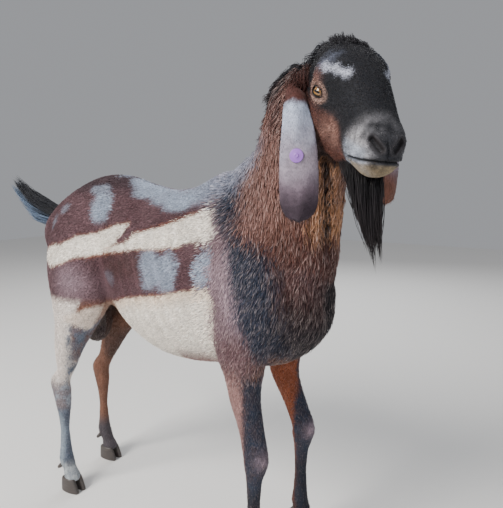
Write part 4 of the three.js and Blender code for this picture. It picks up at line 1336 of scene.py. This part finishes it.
def scattered(mesh, count, density, seed):
    """Random places on a mesh, thicker where the density is higher, with their normals."""
    mesh.calc_loop_triangles()
    corners = np.empty(len(mesh.loop_triangles) * 3, np.int32)
    mesh.loop_triangles.foreach_get("vertices", corners)
    corners = corners.reshape(-1, 3)
    points, normals = own_points(mesh), normals_of(mesh)
    a, b, c = (points[corners[:, k]] for k in range(3))
    area = np.linalg.norm(np.cross(b - a, c - a), axis=1)
    weight = np.cumsum(area * density((a + b + c) / 3))
    random = np.random.default_rng(seed)
    chosen = np.searchsorted(weight, random.random(count) * weight[-1])
    u, v = random.random((2, count, 1))
    u, v = np.where(u + v > 1, 1 - u, u), np.where(u + v > 1, 1 - v, v)
    a, b, c = a[chosen], b[chosen], c[chosen]
    na, nb, nc = (normals[corners[chosen, k]] for k in range(3))
    return a + (b - a) * u + (c - a) * v, unit(na + (nb - na) * u + (nc - na) * v)


def wrapped(points, start, end, lane=0, lanes=1):
    """Places on a cylinder about the line from start to end, laid out flat from 0 to 1."""
    start, end = np.array(start, float), np.array(end, float)
    way = unit(end - start)
    across = unit(np.cross(way, [0.03, 0.02, 1.0] if abs(way[2]) < 0.8 else [1.0, 0.02, 0.03]))
    other = np.cross(way, across)
    u = np.clip((points - start) @ way / np.linalg.norm(end - start), 0, 1)
    v = np.arctan2((points - start) @ across, (points - start) @ other) / (2 * np.pi) + 0.5
    return np.stack([u * 0.99 + 0.005, (v * 0.97 + 0.015 + lane) / lanes], 1)


def triangle_mesh(name, points, triangles, colours, places, material):
    """An object from arrays: points in millimetres, corner triangles and their bake places."""
    mesh = bpy.data.meshes.new(name)
    mesh.vertices.add(len(points))
    mesh.loops.add(triangles.size)
    mesh.polygons.add(len(triangles))
    mesh.loops.foreach_set("vertex_index", triangles.ravel().astype(np.int32))
    mesh.polygons.foreach_set("loop_start", np.arange(0, triangles.size, 3, dtype=np.int32))
    set_points(mesh, points)
    mesh.update(calc_edges=True)
    layer = mesh.uv_layers.new(name="OFBake")
    layer.data.foreach_set("uv", places.astype(np.float32).ravel())
    mesh.shade_smooth()
    paint(mesh, colours)
    mesh.materials.append(material)
    made = bpy.data.objects.new(name, mesh)
    bpy.context.collection.objects.link(made)
    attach(made, "root")
    return made


def strands(name, paths, sides, widths, root_colours, tip_colours, places, flatness=0.45):
    """Closed tapering strands. Paths holds, for each strand, its root, rings and tip;
    sides the way across each strand; widths the half width at each ring."""
    count, length = paths.shape[:2]
    rings = length - 2
    along = unit(np.gradient(paths, axis=1))
    across = unit(sides[:, None] - along * (sides[:, None] * along).sum(-1, keepdims=True))
    third = np.cross(along, across)
    angle = np.radians([90.0, 210, 330])
    ring = (
        paths[:, 1:-1, None]
        + across[:, 1:-1, None] * (np.cos(angle)[:, None] * widths[:, :, None, None])
        + third[:, 1:-1, None] * (np.sin(angle)[:, None] * widths[:, :, None, None] * flatness)
    )
    points = np.concatenate([paths[:, :1], ring.reshape(count, rings * 3, 3), paths[:, -1:]], 1)
    each = 3 * rings + 2
    faces = []
    for j in range(3):
        k = (j + 1) % 3
        faces.append((0, 1 + k, 1 + j))
        for r in range(rings - 1):
            low, high = 1 + 3 * r, 4 + 3 * r
            faces += [(low + j, low + k, high + k), (low + j, high + k, high + j)]
        faces.append((each - 4 + j, each - 4 + k, each - 1))
    faces = np.array(faces)
    first = points[0] - points[0].mean(0)
    if (np.cross(first[faces[:, 0]], first[faces[:, 1]]) * first[faces[:, 2]]).sum() < 0:
        faces = faces[:, ::-1]
    triangles = (np.arange(count)[:, None, None] * each + faces).reshape(-1, 3)
    t = np.linspace(0, 1, length)
    t = np.concatenate([t[:1], np.repeat(t[1:-1], 3), t[-1:]])
    shade = LONG_ROOT_SHADE if rings > 1 else SHORT_ROOT_SHADE
    dark = shade + (1 - shade) * np.minimum(t * ROOT_CLEARS, 1)
    reach = t[:, None] ** 1.4
    colours = root_colours[:, None] * dark[None, :, None] * (1 - reach) + tip_colours[:, None] * reach
    middle = np.stack([np.tile(np.cos(angle), rings), t[1:-1] * 2 - 1], 1)
    local = np.concatenate([[[0, -1.0]], middle, [[0, 1.0]]])
    spot = (places[:, None] + local * BAKE_PATCH / 2).reshape(-1, 2)[triangles.ravel()]
    points = points.reshape(-1, 3)
    return triangle_mesh(name, points, triangles, colours.reshape(-1, 3), spot, hair)


def lie(points, normals):
    """Which way the hair lies: back along trunk and neck, down the legs, up the face."""
    x, _, z = points.T
    in_head = head_places(points)
    level = np.zeros(len(x))
    back = np.stack([level - 1, level, -0.30 - 0.25 * step(z, 700, 560)], 1)
    shoulder = step(x, 150, 260) * step(z, 960, 820)
    thigh = step(x, -260, -380) * step(z, 900, 780)
    neck = step(x * 0.6 + z, 985, 1060) * step(x, 180, 240)
    fall = 0.15 + 0.75 * step(in_head[:, 2], -50, -130) * step(in_head[:, 0], 230, 150)
    up_face = np.stack([level - 1, np.sign(in_head[:, 1]) * 0.15, -fall], 1) @ HEAD_AXES.T
    way = layered(
        back,
        ((-0.40, 0, -1), np.maximum(shoulder, thigh)),
        ((-0.12, 0, -1), step(z, 560, 470)),
        ((-0.50, 0.22, -0.86), neck),
        ((-0.10, 0.05, -1), neck * step(in_head[:, 2], -120, -180)),
        (up_face, head_share(points)),
        (tail_way, step(x, -465, -490) * step(z, 800, 830)),
    )
    sway = np.cross(normals, unit(way)) * (0.22 * layered_noise(points, 42, 6))[:, None]
    way = unit(way) + sway
    return unit(way - normals * (way * normals).sum(1, keepdims=True))


def hairy(points):
    """1 where hair grows, 0 in eyes, nostrils, lips and below the coronet."""
    in_head = head_places(points)
    grows = step(points[:, 2], HOOF_HEIGHT - 4, HOOF_HEIGHT + 3)
    near_head = (in_head[:, 0] > -40) & (points[:, 2] > 880)
    pit = np.where(near_head, nostril_distance(in_head), 99)
    grows = grows * step(pit, 5.5, 7.5)
    lips = (np.abs(in_head[:, 2] - mouth_level(in_head[:, 0])) < 2.2) & (in_head[:, 0] > 206) & near_head
    grows = grows * ~lips
    for side in (-1, 1):
        u, w, out = eye_places(in_head, side).T
        grows = grows * ~((np.hypot(u / 1.7, w) < 8.8) & (np.abs(out) < 26))
    return grows


def coat_piece(name, mesh, count, region, length, width, places, rings=1, tips=0.25, lift=0.10, seed=1,
               stray=2.5, way_of=lie, colours_of=marking, vary=0.22):
    """One piece of coat on the part of a mesh where region is above 0. Length and width may
    be functions of place."""
    roots, normals = scattered(mesh, count, lambda p: region(p) * hairy(p), seed)
    random = np.random.default_rng(seed + 100)
    way = way_of(roots, normals)
    side = np.cross(normals, way)
    way = unit(way + side * random.normal(0, 0.16, (count, 1)))
    side = np.cross(normals, way)
    long = (length(roots) if callable(length) else length) * random.uniform(0.7, 1.25, count)
    wide = (width(roots) if callable(width) else width) * random.uniform(0.75, 1.3, count)
    rise = lift * random.uniform(0.5, 1.6, count)
    t = np.linspace(0, 1, rings + 2)
    height = np.sin(np.clip(t * 1.25, 0, 1) * np.pi / 2) * (1 - 0.35 * t**3)
    paths = roots[:, None] + way[:, None] * (long[:, None] * t)[..., None]
    paths = paths + normals[:, None] * ((long * rise)[:, None] * height)[..., None]
    paths = paths + side[:, None] * ((long * random.normal(0, 0.07, count))[:, None] * t**2)[..., None]
    paths[:, 0] -= normals * 1.0
    taper = np.interp(t[1:-1], [0, 0.35, 0.7, 1], [0.7, 1, 0.75, 0.2])
    base = colours_of(roots + random.normal(0, stray, (count, 3)))
    base = base * random.uniform(1 - vary, 1 + vary, (count, 1))
    bright = base * 1.25 + tips * random.random((count, 1)) ** 2.9 * np.array([0.55, 0.45, 0.42])
    strands(name, paths, side, wide[:, None] * taper, base, bright, places(roots))


def is_head(p):
    return head_share(p) > 0.5


def is_tail(p):
    return step(p[:, 0], -512, -520) * (p[:, 2] > 800)


def is_neck(p):
    return (p[:, 0] * 0.6 + p[:, 2] > 990) * (p[:, 0] > 170) * (p[:, 2] > 780) * (1 - is_head(p))


def is_leg(p):
    return (p[:, 2] < 500) & ((p[:, 0] > 190) | (p[:, 0] < -230))


def is_trunk(p, low, high, side):
    inside = (p[:, 0] >= low) & (p[:, 0] < high) & (p[:, 1] * side >= 0)
    return inside * (1 - is_neck(p)) * (1 - is_head(p)) * (1 - is_tail(p)) * ~is_leg(p)


def face_length(p):
    x, _, z = head_places(p).T
    long = 5.5 + 7 * step(x, 150, 20) + 9 * step(z, -125, -165) * step(x, 190, 120)
    long = long + 12 * step(z, -10, 14) * step(x, 84, 20)
    return long * (1 - 0.45 * step(x, 225, 275))


coat_piece("coat_face", skin.data, 32000, is_head, face_length, lambda p: 0.5 + 0.03 * face_length(p),
    lambda p: wrapped(head_places(p), (-70, 0, -75), (312, 0, -95)),
    tips=0.10, lift=0.13, seed=11, vary=0.42)
coat_piece("coat_neck", skin.data, 15000, is_neck, 25, 1.15,
    lambda p: wrapped(p, (230, 0, 790), (440, -100, 1170)),
    rings=2, tips=0.75, lift=0.13, seed=12, stray=9)
# The far side has fewer tufts
for side, letter, share in ((-1, "r", 1.0), (1, "l", 0.66)):
    coat_piece("coat_shoulder_" + letter, skin.data, int(12200 * share),
        lambda p: is_trunk(p, 150, 600, side), lambda p: 17 + 9 * step(p[:, 0], 300, 380), 1.15,
        lambda p: wrapped(p, (140, 0, 700), (440, 0, 690)),
        rings=2, tips=0.7, lift=0.12, seed=20 + side, stray=8)
    coat_piece("coat_flank_" + letter, skin.data, int(23500 * share),
        lambda p: is_trunk(p, -200, 150, side), 14, 1.0,
        lambda p: wrapped(p, (-205, 0, 740), (155, 0, 720)), tips=0.12, lift=0.10, seed=30 + side)
    coat_piece("coat_rump_" + letter, skin.data, int(16000 * share),
        lambda p: is_trunk(p, -524, -200, side), 13, 1.0,
        lambda p: wrapped(p, (-520, 0, 790), (-195, 0, 760)), tips=0.12, lift=0.10, seed=40 + side)


def leg_places(p):
    """Each leg's cylinder in its own lane."""
    made = np.zeros((len(p), 2))
    for lane, foot in enumerate(FEET.values()):
        near = np.hypot(p[:, 0] - foot[0], p[:, 1] - foot[1]) < 150
        near &= np.sign(p[:, 1]) == np.sign(foot[1])
        made[near] = wrapped(p[near], (*foot, 0), (*foot, 520), lane % 2, 2)
    return made


def leg_length(p):
    return 5.0 + 6 * step(p[:, 2], 120, 480) + 5 * bell(p[:, 2] - 92, 14)


for word, sign, seed in (("forelegs", 1, 51), ("hindlegs", -1, 52)):
    coat_piece("coat_" + word, skin.data, 16500,
        lambda p: is_leg(p) * (p[:, 0] * sign > 0) * (1 + 0.6 * (p[:, 1] < 0)),
        leg_length, lambda p: 0.45 + 0.035 * leg_length(p), leg_places,
        tips=0.55, lift=0.12, seed=seed, stray=4)

# Ear hair: very short, running from the root to the tip
for side, letter in SIDES:
    flap = bpy.data.objects["ear_" + letter + "_flap"]
    root, tip = ear_root(side), np.array(EAR_COURSE[side][-1], float)
    levels = -np.array([root[2], *(key[2] for key in EAR_COURSE[side])])

    def ear_part(p):
        return np.interp(-p[:, 2], levels, [0.2, 0.4, 0.6, 0.8, 1.0])

    def ear_way(_, normals):
        way = unit(tip - root) + 0 * normals
        return unit(way - normals * (way * normals).sum(1, keepdims=True))

    def clear_of_tag(p):
        return (np.linalg.norm(p - TAG_AT, axis=1) > TAG_RADIUS + 3) if side < 0 else np.ones(len(p))

    coat_piece("coat_ear_" + letter, flap.data, 5200, clear_of_tag, 6.5, 0.55,
        lambda p: wrapped(p, root, tip), tips=0.12, lift=0.08, seed=60 + side, way_of=ear_way,
        colours_of=lambda p: ear_colours(p, ear_part(p), np.zeros(len(p))))

# Beard, poll tuft, crest and tail
# Long coarse hair gathered in locks, black with brown fringes; the tail's is blue-grey below.
def hair_locks(name, roots, tips, bend, gather, per_lock, spread_at_root, width, colours,
               tip_colours, places, seed, rings=5):
    """Strands in locks. Each lock runs from its root to its tip with a sideways bend; its
    strands start spread about the root and gather towards the tip."""
    random = np.random.default_rng(seed)
    which = np.repeat(np.arange(len(roots)), per_lock)
    count = len(which)
    t = np.linspace(0, 1, rings + 2)
    start = roots[which] + random.normal(0, spread_at_root, (count, 3))
    end = tips[which] + random.normal(0, spread_at_root * (1 - gather), (count, 3))
    shorter = random.uniform(0.72, 1.06, (count, 1))
    end = start + (end - start) * shorter
    sag = bend[which] + random.normal(0, 1.6, (count, 3))
    paths = start[:, None] + (end - start)[:, None] * t[:, None] + sag[:, None] * np.sin(np.pi * t)[:, None]
    wave = np.sin(t[None] * 7 + random.uniform(0, 6, (count, 1))) * 0.9 * t[None]
    across = unit(np.cross(end - start, random.normal(0, 1, (count, 3))))
    paths = paths + across[:, None] * wave[..., None]
    taper = np.interp(t[1:-1], [0, 0.2, 0.7, 1], [0.8, 1, 0.7, 0.15])
    wide = width * random.uniform(0.7, 1.3, (count, 1)) * taper
    vary = random.uniform(0.6, 1.5, (count, 1))
    strands(name, paths, across, wide, colours[which] * vary, tip_colours[which] * vary, places(start), 0.7)


BEARD_LOCKS = 70
BEARD_LENGTH = 142
random = np.random.default_rng(7)
chin_roots, chin_tips, chin_bend = [], [], []
centre = on_head((232, 0, -154)) + [9, 6, 0]
for _ in range(BEARD_LOCKS):
    back = random.uniform(0, 1)
    out = random.uniform(-1, 1)
    root = on_head((256 - 112 * back, out * (22 - 4 * back), -146 - 10 * back))
    long = BEARD_LENGTH * (1.06 - 0.58 * back) * random.uniform(0.88, 1.05)
    inward = (centre - root) * (0.62 + 0.1 * back) * [1, 1, 0]
    chin_roots.append(root)
    stray = random.normal(0, 4, 3) * [1, 1, 2.2]
    chin_tips.append(root + inward + stray + [12, 7, -long])
    chin_bend.append(unit(root - centre) * random.uniform(2, 9) * [1, 1, 0] + random.normal(0, 2.5, 3))
chin_roots, chin_tips, chin_bend = map(np.array, (chin_roots, chin_tips, chin_bend))
black = np.zeros((BEARD_LOCKS, 3)) + (0.012, 0.011, 0.013)
behind = step((chin_roots - on_head((206, 0, -150))) @ HEAD_AXES[:, 0], 10, -25)[:, None]
browned = np.where(random.random((BEARD_LOCKS, 1)) < 0.9 * behind, 1, 0.06)
fringe = black + browned * np.array([0.17, 0.095, 0.085])
hair_locks("beard", chin_roots, chin_tips, chin_bend, 0.70, 34, 4.8, 0.75, black, fringe,
    lambda p: wrapped(p, on_head((130, 0, -150)), on_head((270, 0, -150))), 71)
POLL_LOCKS = 300
def on_poll(p):
    """1 on the poll between the ears, 0 on brow and cheeks."""
    x, y, z = head_places(p).T
    return step(x, -34, -10) * step(x, 110, 40) * step(np.abs(y), 44, 26) * (z > -34)


roots, normals = scattered(skin.data, POLL_LOCKS, on_poll, 72)
spot = head_places(roots)
full = (0.3 + 0.7 * step(spot[:, 0], 95, 35) * step(np.abs(spot[:, 1]), 36, 18))[:, None]
back = np.array([-21.0, 0, 0]) @ HEAD_AXES.T
tips = roots + back * random.uniform(0.6, 1.3, (POLL_LOCKS, 1)) * full
tips = tips + normals * random.uniform(2, 11, (POLL_LOCKS, 1)) * full
tips = tips + random.normal(0, 4, (POLL_LOCKS, 3)) * full
dark = np.zeros((POLL_LOCKS, 3)) + (0.013, 0.012, 0.015)
hair_locks("poll_tuft", roots - normals, tips, normals * 3 * full, 0.5, 9, 2.2, 0.6, dark, dark * 1.8,
    lambda p: wrapped(head_places(p), (-40, 0, -60), (70, 0, -60)), 73, rings=2)

CREST = np.array([
    (128.0, 0, 980), (196, 0, 1003), (256, -16, 1043), (304, -44, 1114), (350, -74, 1174),
    (402, -92, 1208), (446, -104, 1214),
])
crest_line = smooth(CREST, np.linspace(0.15, 1, 40))
CREST_LOCKS = 420


def near_crest(p):
    """1 on the ridge of the neck, 0 from 42 mm off it, weaker towards the withers."""
    made = np.zeros(len(p))
    close = (p[:, 0] > 150) & (p[:, 2] > 950) & (head_places(p)[:, 0] < 10)
    apart = np.linalg.norm(p[close][:, None] - crest_line[None], axis=2).min(1)
    made[close] = step(apart, 42, 22) * (0.4 + 0.6 * step(p[close][:, 0], 260, 340))
    return made


roots, normals = scattered(skin.data, CREST_LOCKS, near_crest, 74)
upper = step(roots[:, 0], 290, 370)[:, None]
way = unit(np.array([-0.72, 0.22, -0.46]))
tips = roots + way * random.uniform(0.75, 1.2, (CREST_LOCKS, 1)) * (17 + 20 * upper)
by_poll = step(head_places(roots)[:, 0], -85, -45)[:, None]
tips = tips + normals * random.uniform(0.4, 1.1, (CREST_LOCKS, 1)) * (3 + 5 * upper + 16 * by_poll)
tips = tips + random.normal(0, 2.5, (CREST_LOCKS, 3))
crest_colours = blend(marking(roots) * 0.8, INK, step(roots[:, 0], 330, 385) * 0.9)
hair_locks("nape_crest", roots - normals, tips, normals * (2 + 3 * upper + 7 * by_poll), 0.3, 8, 3.2,
    0.75, crest_colours, crest_colours * 1.5,
    lambda p: wrapped(p, (120, 0, 900), (410, -90, 1150)), 75, rings=2)

TAIL_LOCKS = 230
t = random.uniform(0.02, 0.66, TAIL_LOCKS)
turned = random.uniform(0, 2 * np.pi, TAIL_LOCKS)
outward = LEFT * np.cos(turned)[:, None] + tail_up * np.sin(turned)[:, None]
roots = tail_line(t) + outward * np.interp(t, [0, 0.34, 0.68], [20, 16, 5])[:, None]
ends = np.minimum(1.15, t + random.uniform(0.34, 0.58, TAIL_LOCKS))
tips = tail_line(ends) + outward * np.interp(t, [0, 0.66], [36, 8])[:, None]
tips[:, 2] -= np.where(np.sin(turned) < 0.2, 13, 0)
below = step(np.sin(turned), 0.35, -0.25)[:, None]
tail_colours = np.array([0.013, 0.014, 0.018]) * (1 - below) + np.array([0.085, 0.12, 0.18]) * below
hair_locks("tail_brush", roots, tips, outward * 7, 0.45, 10, 3.0, 0.95, tail_colours, tail_colours * 1.3,
    lambda p: wrapped(p, TAIL_ROOT, TAIL_TIP), 77, rings=4)

# Hair of the neck falls over the roots of the ears
FRINGE_LOCKS = 90
for side, letter in SIDES:
    middle = on_head((6, side * 62, -36))
    places = middle + random.normal(0, 1, (FRINGE_LOCKS, 3)) * [16, 10, 9]
    fall = np.array([-0.15, side * 0.12, -1.0]) + random.normal(0, 0.12, (FRINGE_LOCKS, 3))
    ends = places + unit(fall) * random.uniform(16, 34, (FRINGE_LOCKS, 1))
    browns = marking(places) * 0.25 + np.array([0.050, 0.018, 0.014])
    bend = np.array([0, side * 4.0, 0]) + random.normal(0, 1.5, (FRINGE_LOCKS, 3))
    hair_locks("ear_fringe_" + letter, places, ends, bend, 0.3, 10, 4.0, 0.6, browns, browns * 1.6,
        lambda p: wrapped(p, middle + [0, 0, 60], middle - [0, 0, 60]), 80 + side, rings=2)
